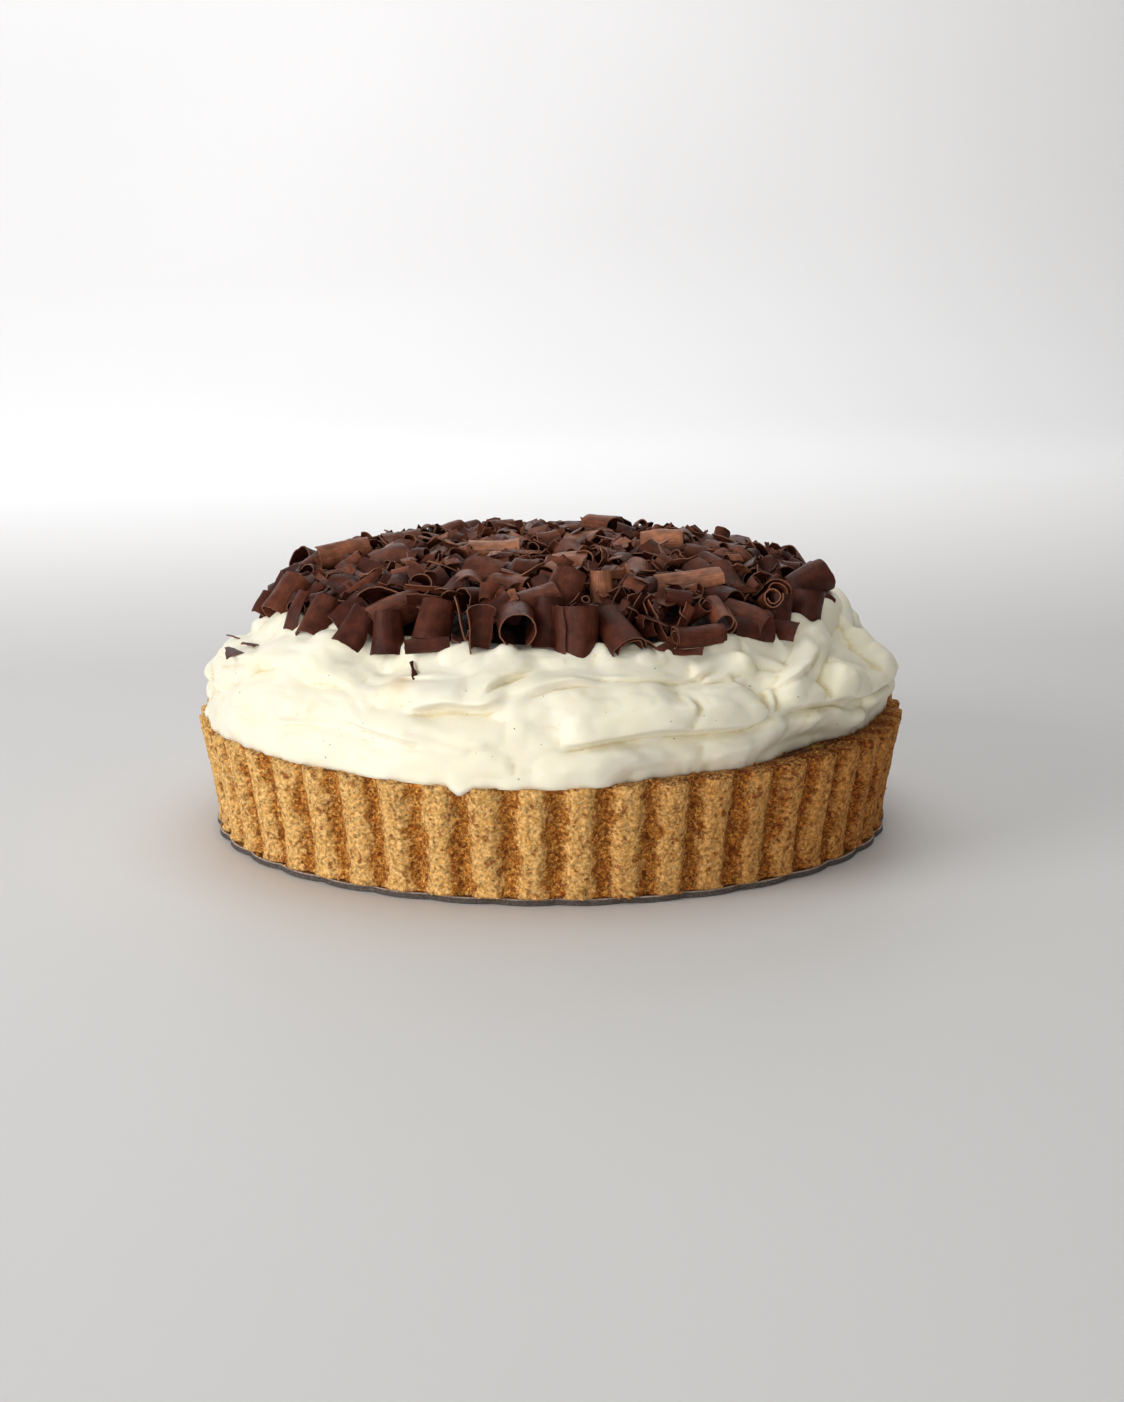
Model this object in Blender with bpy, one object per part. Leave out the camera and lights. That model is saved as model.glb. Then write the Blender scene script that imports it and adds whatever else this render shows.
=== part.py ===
"""Banoffee pie: a deep fluted biscuit-crumb crust on a thin scalloped card, filled with
caramel, topped with folded whipped cream and a heap of chocolate curls.
Metres, +Z up, front of the pie towards -Y, card underside on z = 0."""

import math
import random

import bmesh
import bpy
from mathutils import Matrix, Vector, noise
from mathutils.bvhtree import BVHTree

MM = 0.001
GAP = 0.3 * MM
SPECKS = (0.004 * MM, 0.002 * MM, 0.001 * MM, 0.0)

# card under the crust
CARD_THICKNESS = 2.0 * MM
CARD_CUSP_RADIUS = 108.5 * MM
CARD_LOBE_RISE = 1.6 * MM
CARD_LOBES = 36
CARD_PHASE = 1.0
STEPS_PER_LOBE = 3

# crumb crust
RIM_RADIUS = 115.0 * MM
FOOT_RADIUS = 109.0 * MM
WALL_BOW = 1.25
RIM_HEIGHT = 36.6 * MM
FLUTES = 51
FLUTE_PHASE = -2.8
FLUTE_DEPTH = 2.6 * MM
STEPS_PER_FLUTE = 4
INNER_RIM_RADIUS = 106.5 * MM
INNER_FOOT_RADIUS = 100.0 * MM
CRUST_FLOOR = 6.0 * MM
RIM_CRUMBLE = 0.7 * MM
WALL_GRAIN = 0.35 * MM
NOTCH_WIDTH = 2.2
RIM_NOTCHES = {-13.2: 2.4 * MM, -29.5: 1.2 * MM, 128.0: 1.6 * MM, 205.0: 1.4 * MM}

# caramel inside the crust
CARAMEL_DROP = 0.5 * MM

# whipped cream: profile from its lower edge up to the middle, as (radius, height) in mm
CREAM_PROFILE = (
    (110.5, 37.2), (113.2, 38.6), (113.8, 41.0), (112.6, 46.0), (110.2, 51.5), (106.4, 57.3),
    (101.8, 62.5), (96.5, 67.0), (91.0, 70.0), (80.0, 73.0), (58.0, 77.0), (30.0, 80.0), (0.0, 81.0),
)
CREAM_COLUMNS = 96
CREAM_ROWS = (1.5, 4.5, 8.0, 11.0, 13.5, 17.0, 20.5, 23.5, 26.5, 30.0, 34.0, 38.5, 45.0)
CREAM_INNER_ROWS = (62.0, 90.0)
# how far the lower edge stands in from the rim, at azimuths from the front in degrees
CREAM_INSETS = (
    (-180, 2.5), (-160, 4.5), (-140, 2.0), (-120, 3.5), (-104, 5.0), (-90, 2.0), (-75, 2.2),
    (-64, 3.2), (-54, 3.2), (-44, 2.0), (-35, 3.5), (-28, 2.0), (-21, 1.2), (-4, 1.4), (2, 1.1),
    (7, 2.6), (11, 5.6), (18, 7.0), (25, 7.6), (31, 5.6), (38, 8.4), (46, 11.5), (52, 13.0),
    (57, 11.5), (62, 7.8), (72, 6.0), (81, 3.0), (90, 1.6), (104, 3.8), (122, 2.0), (140, 5.5),
    (158, 3.0), (180, 2.5),
)
# folds of the cream: crease as (azimuth in degrees, mm up the cream), lip height and width in mm.
# The raised lip lies to the left of the crease as it is walked.
CREAM_FOLDS = (
    (((-24, 19.5), (-17, 22.4), (-9.5, 22.2), (-5.8, 23.0)), 2.8, 9.0),
    (((-10.4, 22.0), (-10.3, 26.5), (-8.6, 30.0), (-5.0, 34.4), (-1.5, 36.8)), 2.2, 7.0),
    (((-6.3, 24.2), (-2.9, 26.3), (2.5, 29.5), (9.0, 30.0)), 1.8, 8.0),
    (((-21, 13.6), (-13, 10.7), (-7, 9.7), (-2, 10.5), (5, 11.8), (9, 13.0), (17, 13.9),
      (26, 13.0), (32, 13.4), (34.5, 16.1), (37, 20.5)), 3.2, 10.0),
    (((34.3, 22.5), (39, 24.2), (45, 25.6), (53, 26.4), (60, 28.7), (73, 29.6), (88, 28.5),
      (104, 30.5)), 2.0, 8.0),
    (((102, 29.5), (88, 27.5), (73, 28.6), (60, 27.7), (53, 25.4), (45, 24.6), (39, 23.2)), 2.0, 7.0),
    (((37.4, 15.4), (43.7, 16.6), (51, 14.9), (55.7, 13.3), (62, 13.6), (72, 15.0),
      (86, 14.0)), 3.2, 8.0),
    (((19.2, 14.2), (20.7, 17.0), (21.8, 20.0), (21.9, 23.4), (21.0, 27.5)), 1.9, 6.0),
    (((-74, 20.0), (-67, 21.7), (-55, 25.6), (-49, 29.6), (-37, 31.6), (-30, 35.0)), 2.2, 9.0),
    (((-48, 10.0), (-38, 13.0), (-30, 13.0), (-20, 9.5)), 1.6, 7.0),
    (((-88, 12.0), (-76, 13.5), (-64, 12.0)), 2.0, 7.0),
    (((-34, 35.0), (-25, 32.5), (-14, 33.0), (-6, 36.0)), 0.9, 4.0),
    (((3, 34.5), (11, 32.0), (22, 31.5), (31, 34.0)), 0.9, 4.0),
)
# rounded peaks and lobes: azimuth, mm up the cream, radius and height in mm
CREAM_LOBES = (
    (35.0, 34.0, 4.5, 2.6), (54.0, 22.0, 7.5, 2.6), (45.0, 9.5, 4.0, 2.0), (84.0, 44.0, 8.0, 3.4),
    (86.0, 31.5, 5.5, -3.4), (17.5, 20.0, 6.0, 1.4), (-46.0, 38.0, 8.0, 1.4), (-84.0, 42.0, 13.0, -4.6),
    (66.0, 20.5, 6.0, 1.6), (28.0, 7.0, 8.0, 1.2), (-2.0, 5.0, 9.0, 1.0), (4.0, 44.0, 12.0, -1.6),
    (-32.0, 43.0, 12.0, -2.4), (20.0, 42.0, 10.0, -1.6), (-99.0, 30.0, 16.0, -4.6),
    (91.0, 27.0, 9.0, -4.6), (82.0, 17.5, 8.0, -2.4), (102.0, 43.0, 10.0, 2.0), (83.0, 6.0, 8.0, 2.0),
)
FOLD_DEPTH = 1.5
FOLD_ENDS = 9.0
CREASE_DEPTH = 0.42
BACK_FOLDS = 15
BACK_LEVELS = (10.0, 19.0, 28.0, 36.0)
FOLD_FADE = (38.0, 54.0)
LUMPS = ((28.0, 2.4), (62.0, 1.4))
CREAM_EASE = 112.2
CREAM_EASED_SHARE = 0.55
PROFILE_REACH = 3.0

# stray shavings lying on the cream: azimuth, mm up the cream, length, width, turn
STRAYS = (
    (-62.0, 27.0, 6.4, 4.6, 65.0), (-61.0, 31.5, 2.6, 1.4, 50.0), (-24.6, 35.5, 7.0, 1.6, -62.0),
    (-74.0, 35.0, 5.0, 1.2, 35.0),
)

# heap of chocolate curls: core and outer envelope as (radius, height) in mm
CORE_PROFILE = ((0.0, 86.8), (30.0, 86.4), (55.0, 84.8), (72.0, 81.6), (80.0, 78.0), (85.0, 75.0),
                (88.5, 72.4))
ENVELOPE = ((0.0, 92.0), (30.0, 91.6), (58.0, 90.0), (76.0, 86.5), (86.0, 82.0), (92.0, 77.0),
            (96.0, 73.0))
CORE_COLUMNS = CREAM_COLUMNS // 2
LIFT = Vector((0.0, 0.0, 1.5 * GAP))
CORE_RELIEF = 2.2
CORE_RINGS = (81.0, 68.0)
CORE_INNER_RINGS = (44.0, 22.0)
SHAVING_THICKNESS = 1.2 * MM
SINK = 1.1 * MM
PROUD = 1.6 * MM
SHAVING_LIMIT = 130
HEAP_RADIUS = 92.0
HEAP_EDGE = 78.0
HEAP_SEED = 23
DEGREES_A_STEP = 58.0
WIND_FROM = 300.0
WIND_INWARD = 2.6
# further curls by kind, largest first: count, length, radius and degrees of curl
SHAVING_KINDS = (
    (10, (12, 15), (4.0, 5.2), (290, 380)), (16, (10, 14), (4.2, 6.2), (110, 200)),
    (30, (9, 14), (6.0, 9.0), (50, 90)), (24, (8, 11), (2.6, 3.8), (280, 350)),
    (40, (7, 11), (3.2, 4.8), (90, 180)), (90, (7, 11), (4.5, 8.0), (36, 70)),
    (90, (5, 8), (2.0, 3.2), (100, 180)),
)

# curls that can be told apart: x, y, z of the face turned to the front, length along the axis,
# radius, degrees of curl, far radius over near radius, heading, pitch, spin (mm and degrees)
FRONT_CURLS = {
    "barrel": (-46, -67, 86, 17, 5.6, 400, 1.0, 14, 16, 200),
    "upright_roll": (7, -93, 78, 15.5, 7.4, 385, 1.0, 90, 84, 25),
    "cone_roll": (20, -91, 78, 17, 5.6, 400, 0.8, 122, 34, 120),
    "big_arch": (-10, -90, 80, 12, 6.2, 290, 1.0, -88, -8, 10),
    "arch_side": (-2, -92, 78.5, 16, 5.0, 150, 1.0, 90, 78, 10),
    "leaning_sheet": (-33, -85, 80, 14, 8.0, 210, 0.8, 90, 70, -12),
    "funnel": (-48, -82, 76, 13.5, 6.0, 330, 0.75, 90, 84, 30),
    "diamond_sheet": (-57, -75, 75.5, 15, 9.0, 95, 1.0, 60, 60, 10),
    "left_funnel": (-70, -58, 80, 14, 7.0, 200, 0.85, 50, 62, 10),
    "left_roll": (-82, -36, 81, 15, 6.0, 300, 1.0, 40, 66, 20),
    "left_shard": (-78, -53, 75.5, 15, 7.0, 50, 1.0, 40, 58, 0),
    "tip_hook": (-91, -22, 77, 9, 3.0, 220, 1.0, 60, 76, 90),
    "lying_roll": (43, -85, 75, 18, 3.9, 400, 1.0, 6, 4, 100),
    "scoop_tongue": (-19, -92, 77, 14, 4.6, 120, 1.5, -90, 76, 0),
    "little_roll": (-36, -89, 73.2, 14, 2.5, 330, 1.0, 2, 4, 90),
    "end_on_tube": (50, -75, 81.5, 13, 3.8, 380, 1.0, -78, -16, 40),
    "half_tube": (58, -71, 80.5, 15, 6.5, 170, 1.0, -24, -18, 40),
    "dark_scoop": (60, -76, 75.5, 13, 6.0, 170, 1.0, 12, 0, -70),
    "standing_roll": (69, -62, 77.5, 14, 3.8, 330, 1.0, 70, 80, 0),
    "spiral_end_a": (68, -48, 85, 12, 4.6, 420, 1.0, -75, 26, 60),
    "dark_cup": (78, -52, 77.5, 11, 5.0, 330, 1.1, 60, 76, 30),
    "big_right_roll": (81, -33, 84, 13, 5.4, 330, 1.0, 20, 24, 120),
    "back_right_roll": (79, -2, 86, 14, 3.4, 380, 1.0, -35, 6, 30),
    "dark_slab": (-60, -65, 82, 11, 10.0, 55, 1.0, 20, 24, 40),
    "right_slab": (69, -69, 73.4, 9, 9.0, 50, 1.0, -20, -10, 60),
    "low_splinter": (37, -91, 71.6, 14, 7.0, 24, 1.0, -12, -4, 50),
    "right_chip": (86, -37, 77.5, 6, 6.0, 60, 1.0, 60, 40, 40),
    "tan_slab_left": (-18, -22, 94, 16, 9.0, 90, 1.0, 2, 0, 30),
    "tan_slab_right": (36, -4, 94.4, 14, 9.5, 70, 1.0, -2, 0, 46),
    "tan_slab_middle": (9, 5, 93.6, 11, 10.0, 75, 1.0, -22, 6, 34),
    "peak_arch": (18, 42, 94.5, 13, 5.0, 220, 1.0, -50, 0, 0),
    "peak_roll": (57, 26, 92.0, 7, 3.0, 330, 1.0, 80, 70, 0),
    "light_tube": (15, -68, 88.6, 9.5, 3.2, 300, 1.0, 90, 80, 0),
    "long_flat": (42, -54, 88.8, 21, 8.0, 60, 1.0, 8, 4, 34),
    "small_arch": (-25, -61, 89.0, 9, 5.0, 220, 1.0, -86, -6, 0),
    "leaning_slab": (-21, -50, 90.4, 13, 9.0, 60, 1.0, -36, -10, 46),
    "half_barrel": (-9, -78, 86.0, 19, 7.0, 120, 1.0, 14, 8, 30),
    "curved_sheet": (4, -72, 87.6, 12, 6.0, 120, 1.0, 60, 50, 20),
    "left_top_roll": (-67, -10, 89.6, 17, 4.6, 300, 1.0, 20, 8, 130),
    "left_top_slab": (-51, -21, 90.6, 12, 8.0, 80, 1.0, 30, 14, 20),
    "left_back_slab": (-50, 18, 91.4, 13, 7.0, 110, 1.0, 12, 6, 0),
    "back_roll": (-17, 41, 92.6, 9, 3.2, 360, 1.0, 30, 0, 40),
}


def smooth(x):
    """Smooth step from 0 to 1."""
    x = min(1.0, max(0.0, x))
    return x * x * (3.0 - 2.0 * x)


def lookup(table, x):
    """Straight-line value of a sorted (x, value) table."""
    if x <= table[0][0]:
        return table[0][1]
    for (x0, y0), (x1, y1) in zip(table, table[1:]):
        if x <= x1:
            return y0 + (y1 - y0) * (x - x0) / (x1 - x0)
    return table[-1][1]


def at_azimuth(azimuth, radius, height):
    """Point at an azimuth in degrees, counted from the front towards +X."""
    a = math.radians(azimuth)
    return Vector((radius * math.sin(a), -radius * math.cos(a), height))


def wrapped(azimuth):
    """Azimuth brought between -180 and 180."""
    return (azimuth + 180.0) % 360.0 - 180.0


def rim_level(azimuth):
    """Height of the crust rim, a little lower at the front than at the sides."""
    dip = math.exp(-((wrapped(azimuth) + 6.0) / 24.0) ** 2)
    return RIM_HEIGHT + (0.9 - 1.4 * dip + 0.5 * math.sin(math.radians(azimuth))) * MM


def add_ring(bm, count, place):
    return [bm.verts.new(place(i * 360.0 / count)) for i in range(count)]


def skin(bm, lower, upper):
    """Faces between two rings of equal count, outward for rings that go up."""
    n = len(lower)
    for i in range(n):
        j = (i + 1) % n
        bm.faces.new((lower[i], lower[j], upper[j], upper[i]))


def step_skin(bm, fine, coarse):
    """Faces between a fine ring and an inner ring with a whole fraction of its count."""
    ratio = len(fine) // len(coarse)
    half = ratio // 2
    for j, hub in enumerate(coarse):
        for k in range(-half, ratio - half):
            a = fine[(j * ratio + k) % len(fine)]
            b = fine[(j * ratio + k + 1) % len(fine)]
            bm.faces.new((a, b, hub))
        edge = fine[(j * ratio + ratio - half) % len(fine)]
        bm.faces.new((edge, coarse[(j + 1) % len(coarse)], hub))


def fan(bm, ring, centre):
    hub = bm.verts.new(centre)
    for i, v in enumerate(ring):
        bm.faces.new((v, ring[(i + 1) % len(ring)], hub))


def to_object(bm, name, material, smooth_faces):
    """Finished object from a closed bmesh, faces outward."""
    bmesh.ops.recalc_face_normals(bm, faces=bm.faces)
    bmesh.ops.triangulate(bm, faces=bm.faces)
    for f in bm.faces:
        f.smooth = smooth_faces
    mesh = bpy.data.meshes.new(name)
    bm.to_mesh(mesh)
    obj = bpy.data.objects.new(name, mesh)
    obj.data.materials.append(material)
    bpy.context.scene.collection.objects.link(obj)
    return obj


def make_material(name, colour, roughness):
    mat = bpy.data.materials.new(name)
    mat.use_nodes = True
    shader = mat.node_tree.nodes["Principled BSDF"]
    shader.inputs["Base Color"].default_value = (*colour, 1.0)
    shader.inputs["Roughness"].default_value = roughness
    shader.inputs["Metallic"].default_value = 0.0
    return mat


# ---------------------------------------------------------------- card
def card_radius(azimuth):
    part = math.sin(math.pi * (azimuth - CARD_PHASE) * CARD_LOBES / 360.0)
    return CARD_CUSP_RADIUS + CARD_LOBE_RISE * abs(part) ** 0.7


def build_card(material):
    bm = bmesh.new()
    count = CARD_LOBES * STEPS_PER_LOBE

    def edge(height):
        return lambda a: at_azimuth(a + CARD_PHASE, card_radius(a + CARD_PHASE), height)

    bottom = add_ring(bm, count, edge(0.0))
    top = add_ring(bm, count, edge(CARD_THICKNESS))
    skin(bm, bottom, top)
    fan(bm, bottom, (0.0, 0.0, 0.0))
    fan(bm, top, (0.0, 0.0, CARD_THICKNESS))
    return to_object(bm, "base_card", material, False)


# ---------------------------------------------------------------- crust
def flute(azimuth):
    """1 on the crest of a flute, 0 in its valley, with broad crests."""
    wave = 0.5 + 0.5 * math.cos(math.radians((azimuth - FLUTE_PHASE) * FLUTES))
    return wave ** 0.85


def crust_point(azimuth, level):
    """Point of the outer wall, level 0 at the foot and 1 at the rim."""
    foot = CARD_THICKNESS + GAP
    height = foot + (rim_level(azimuth) - foot) * level
    crest = FOOT_RADIUS + (RIM_RADIUS - FOOT_RADIUS) * level ** WALL_BOW
    radius = crest - FLUTE_DEPTH * (1.0 - flute(azimuth))
    spot = at_azimuth(azimuth, radius, height)
    return spot + at_azimuth(azimuth, noise.noise(spot * 220.0) * WALL_GRAIN, 0.0)


def rim_point(azimuth):
    """Outer edge of the rim, crumbled down a little and chipped at the notches."""
    spot = crust_point(azimuth, 1.0)
    drop = abs(noise.noise(spot * 160.0)) * RIM_CRUMBLE
    for where, depth in RIM_NOTCHES.items():
        drop += depth * max(0.0, 1.0 - abs(wrapped(azimuth - where)) / NOTCH_WIDTH)
    spot.z -= drop
    return spot


def build_crust(material):
    bm = bmesh.new()
    count = FLUTES * STEPS_PER_FLUTE
    foot = CARD_THICKNESS + GAP
    turn = FLUTE_PHASE

    rows = [add_ring(bm, count, lambda a, t=t: crust_point(a + turn, t)) for t in (0.0, 0.45)]
    rows.append(add_ring(bm, count, lambda a: rim_point(a + turn)))
    for lower, upper in zip(rows, rows[1:]):
        skin(bm, lower, upper)

    inner_rim = add_ring(bm, FLUTES, lambda a: at_azimuth(
        a + turn, INNER_RIM_RADIUS, rim_level(a + turn) - CARAMEL_DROP))
    inner_foot = add_ring(bm, FLUTES, lambda a: at_azimuth(
        a + turn, INNER_FOOT_RADIUS, CRUST_FLOOR))
    step_skin(bm, rows[-1], inner_rim)
    skin(bm, inner_rim, inner_foot)
    fan(bm, inner_foot, (0.0, 0.0, CRUST_FLOOR))

    under = add_ring(bm, FLUTES, lambda a: at_azimuth(a + turn, INNER_FOOT_RADIUS, foot))
    step_skin(bm, rows[0], under)
    fan(bm, under, (0.0, 0.0, foot))
    return to_object(bm, "crust", material, False)


# ---------------------------------------------------------------- caramel
def filling_level(azimuth, radius):
    """Top of the caramel, following the rim near the wall and flat in the middle."""
    share = min(1.0, radius / INNER_RIM_RADIUS)
    return RIM_HEIGHT + (rim_level(azimuth) - RIM_HEIGHT) * share - CARAMEL_DROP


def build_caramel(material):
    bm = bmesh.new()
    turn = FLUTE_PHASE
    gap = GAP * 1.2
    bottom_height = CRUST_FLOOR + GAP
    share = (bottom_height - CRUST_FLOOR) / (RIM_HEIGHT - CRUST_FLOOR)
    foot_radius = INNER_FOOT_RADIUS + (INNER_RIM_RADIUS - INNER_FOOT_RADIUS) * share - gap
    bottom = add_ring(bm, FLUTES, lambda a: at_azimuth(
        a + turn, foot_radius, bottom_height))
    top = add_ring(bm, FLUTES, lambda a: at_azimuth(
        a + turn, INNER_RIM_RADIUS - gap, filling_level(a + turn, INNER_RIM_RADIUS)))
    skin(bm, bottom, top)
    fan(bm, bottom, (0.0, 0.0, bottom_height))
    fan(bm, top, (0.0, 0.0, RIM_HEIGHT - CARAMEL_DROP))
    return to_object(bm, "caramel", material, False)


# ---------------------------------------------------------------- cream
def profile_lengths():
    total = 0.0
    lengths = [0.0]
    for (r0, z0), (r1, z1) in zip(CREAM_PROFILE, CREAM_PROFILE[1:]):
        total += math.hypot(r1 - r0, z1 - z0)
        lengths.append(total)
    return lengths


PROFILE_AT = profile_lengths()


def cream_profile(up):
    """Radius, height and outward slope of the plain profile, `up` mm along it."""
    up = min(max(up, 0.0), PROFILE_AT[-1] - 0.001)
    radii = [(s, p[0]) for s, p in zip(PROFILE_AT, CREAM_PROFILE)]
    heights = [(s, p[1]) for s, p in zip(PROFILE_AT, CREAM_PROFILE)]
    low = up - PROFILE_REACH
    high = up + PROFILE_REACH
    radius = (lookup(radii, low) + lookup(radii, up) * 2 + lookup(radii, high)) / 4
    height = (lookup(heights, low) + lookup(heights, up) * 2 + lookup(heights, high)) / 4
    dr = lookup(radii, high) - lookup(radii, low)
    dz = lookup(heights, high) - lookup(heights, low)
    size = math.hypot(dr, dz)
    return radius, height, dz / size, -dr / size


def back_folds():
    """Folds round the back and sides, in the manner of those at the front."""
    rng = random.Random(7)
    folds = []
    for i in range(BACK_FOLDS):
        start = 98.0 + 150.0 * (i + rng.random()) / BACK_FOLDS
        level = BACK_LEVELS[i % len(BACK_LEVELS)] + rng.uniform(-2.5, 2.5)
        slope = rng.uniform(-0.14, 0.14)
        span = rng.uniform(24.0, 46.0)
        bow = rng.uniform(-2.5, 2.5)
        line = []
        for k in range(5):
            part = k / 4.0
            line.append((start + span * part,
                         level + slope * span * part + bow * math.sin(math.pi * part)))
        folds.append((tuple(line), rng.uniform(2.0, 3.4), rng.uniform(7.0, 10.0)))
    return folds


ALL_FOLDS = CREAM_FOLDS + tuple(back_folds())
DEGREE_ARC = 1.88


def fold_distance(line, azimuth, up):
    """Signed distance in mm to a crease (left side positive) and the way along it."""
    best = None
    walked = 0.0
    for (a0, u0), (a1, u1) in zip(line, line[1:]):
        px = wrapped(azimuth - a0) * DEGREE_ARC
        py = up - u0
        sx = (a1 - a0) * DEGREE_ARC
        sy = u1 - u0
        length = math.hypot(sx, sy)
        t = min(1.0, max(0.0, (px * sx + py * sy) / length ** 2))
        dx = px - sx * t
        dy = py - sy * t
        distance = math.hypot(dx, dy)
        if best is None or distance < best[0]:
            side = 1.0 if sx * py - sy * px >= 0.0 else -1.0
            best = (distance, side, walked + t * length)
        walked += length
    return best[0] * best[1], best[2], walked


def fold_height(azimuth, up):
    """Sum of the fold lips, in mm."""
    total = 0.0
    for line, height, width in ALL_FOLDS:
        distance, along, length = fold_distance(line, azimuth, up)
        if abs(distance) > width * 2.0:
            continue
        ends = smooth(along / FOLD_ENDS) * smooth((length - along) / FOLD_ENDS)
        if distance >= 0.0:
            lip = smooth(distance / (0.28 * width)) * math.exp(-(distance / width) ** 2)
        else:
            lip = -CREASE_DEPTH * math.exp(-(distance / (0.3 * width)) ** 2) * smooth(-distance / 0.6)
        total += FOLD_DEPTH * height * ends * lip
    return total


def lobe_height(azimuth, up):
    """Sum of the rounded peaks, in mm."""
    total = 0.0
    for a, u, radius, height in CREAM_LOBES:
        across = wrapped(azimuth - a) * DEGREE_ARC
        distance = math.hypot(across, up - u) / radius
        if distance < 2.4:
            total += height * math.exp(-distance ** 2)
    return total


def cream_point(azimuth, up):
    """Point of the cream surface, `up` mm along its profile from the lower edge."""
    radius, level, out, rise = cream_profile(up)
    inset = lookup(CREAM_INSETS, wrapped(azimuth)) - 1.5
    radius -= inset * (1.0 - smooth(up / 17.0))
    level += (rim_level(azimuth) - RIM_HEIGHT) / MM * (1.0 - smooth(up / 20.0))
    fade = 1.0 - smooth((up - FOLD_FADE[0]) / (FOLD_FADE[1] - FOLD_FADE[0]))
    raise_by = fold_height(azimuth, up) + lobe_height(azimuth, up)
    spot = at_azimuth(azimuth, radius * MM, level * MM)
    lumps = sum(noise.noise(spot * fine) * height for fine, height in LUMPS)
    foot = 0.25 + 0.75 * smooth(up / 7.0)
    raise_by = (raise_by + lumps) * foot * fade
    reach = radius + out * raise_by
    if reach > CREAM_EASE:
        reach = CREAM_EASE + (reach - CREAM_EASE) * CREAM_EASED_SHARE
    return at_azimuth(azimuth, reach * MM, (level + rise * raise_by) * MM)


def cream_surface(bm):
    """Cream body: wavy lower edge, folded sides, smooth middle under the heap."""
    def edge(azimuth):
        spot = cream_point(azimuth, 0.0)
        spot.z = rim_level(azimuth) + GAP
        return spot

    rings = [add_ring(bm, CREAM_COLUMNS, edge)]
    for up in CREAM_ROWS:
        rings.append(add_ring(bm, CREAM_COLUMNS, lambda a, up=up: cream_point(a, up)))
    for lower, upper in zip(rings, rings[1:]):
        skin(bm, lower, upper)
    last = rings[-1]
    for up in CREAM_INNER_ROWS:
        ring = add_ring(bm, len(last) // 2, lambda a, up=up: cream_point(a, up))
        step_skin(bm, last, ring)
        last = ring
    fan(bm, last, (0.0, 0.0, CREAM_PROFILE[-1][1] * MM))
    fan(bm, rings[0], (0.0, 0.0, RIM_HEIGHT + GAP))


def add_stray(azimuth, up, length, width, turn, material):
    """One thin shaving half sunk in the cream."""
    bm = bmesh.new()
    bmesh.ops.create_cube(bm, size=1.0)
    bmesh.ops.scale(bm, verts=bm.verts, vec=(length * MM, width * MM, 1.8 * MM))
    tip = [v for v in bm.verts if v.co.x > 0.0]
    bmesh.ops.scale(bm, verts=tip, vec=(1.0, 0.35, 1.0))
    here = cream_point(azimuth, up)
    along = cream_point(azimuth + 2.0, up) - here
    upward = cream_point(azimuth, up + 3.0) - here
    normal = along.cross(upward).normalized()
    x_axis = Matrix.Rotation(math.radians(turn), 3, normal) @ along.normalized()
    y_axis = normal.cross(x_axis)
    frame = Matrix((x_axis, y_axis, normal)).transposed().to_4x4()
    bmesh.ops.transform(bm, matrix=Matrix.Translation(here) @ frame, verts=bm.verts)
    return to_object(bm, "stray", material, False)


def build_cream(material):
    bm = bmesh.new()
    cream_surface(bm)
    obj = to_object(bm, "cream", material, True)
    strays = [add_stray(*spec, material) for spec in STRAYS]
    union_onto(obj, strays)
    return obj


# ---------------------------------------------------------------- joining
def union_onto(obj, pieces):
    """Joins the pieces onto the object with one union and keeps the one closed body."""
    group = bpy.data.collections.new("pieces")
    bpy.context.scene.collection.children.link(group)
    for piece in pieces:
        bpy.context.scene.collection.objects.unlink(piece)
        group.objects.link(piece)
    joiner = obj.modifiers.new("join", "BOOLEAN")
    joiner.operation = "UNION"
    joiner.operand_type = "COLLECTION"
    joiner.collection = group
    for solver in ("EXACT", "MANIFOLD"):
        joiner.solver = solver
        graph = bpy.context.evaluated_depsgraph_get()
        joined = bpy.data.meshes.new_from_object(obj.evaluated_get(graph))
        bm = without_specks(joined)
        if is_closed(bm):
            break
    obj.modifiers.clear()
    keep_largest(bm)
    bm.to_mesh(obj.data)
    bm.free()
    for piece in pieces:
        bpy.data.objects.remove(piece, do_unlink=True)
    bpy.data.collections.remove(group)


def is_closed(bm):
    return all(len(e.link_faces) == 2 for e in bm.edges)


def without_specks(mesh):
    """Triangles of a mesh with its tiniest edges dissolved, as far as it stays closed."""
    for speck in SPECKS:
        bm = bmesh.new()
        bm.from_mesh(mesh)
        bmesh.ops.triangulate(bm, faces=bm.faces)
        if speck > 0.0:
            bmesh.ops.dissolve_degenerate(bm, dist=speck, edges=bm.edges)
            bmesh.ops.triangulate(bm, faces=bm.faces)
        if is_closed(bm):
            break
    return bm


def keep_largest(bm):
    """Drops loose scrap and sealed hollows, keeping the body with most faces."""
    unseen = set(bm.faces)
    bodies = []
    while unseen:
        stack = [unseen.pop()]
        body = set(stack)
        while stack:
            for edge in stack.pop().edges:
                for other in edge.link_faces:
                    if other in unseen:
                        unseen.discard(other)
                        body.add(other)
                        stack.append(other)
        bodies.append(body)
    bodies.sort(key=len, reverse=True)
    scrap = [f for body in bodies[1:] for f in body]
    if scrap:
        bmesh.ops.delete(bm, geom=scrap, context="FACES")
    loose = [v for v in bm.verts if not v.link_faces]
    if loose:
        bmesh.ops.delete(bm, geom=loose, context="VERTS")


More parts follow.
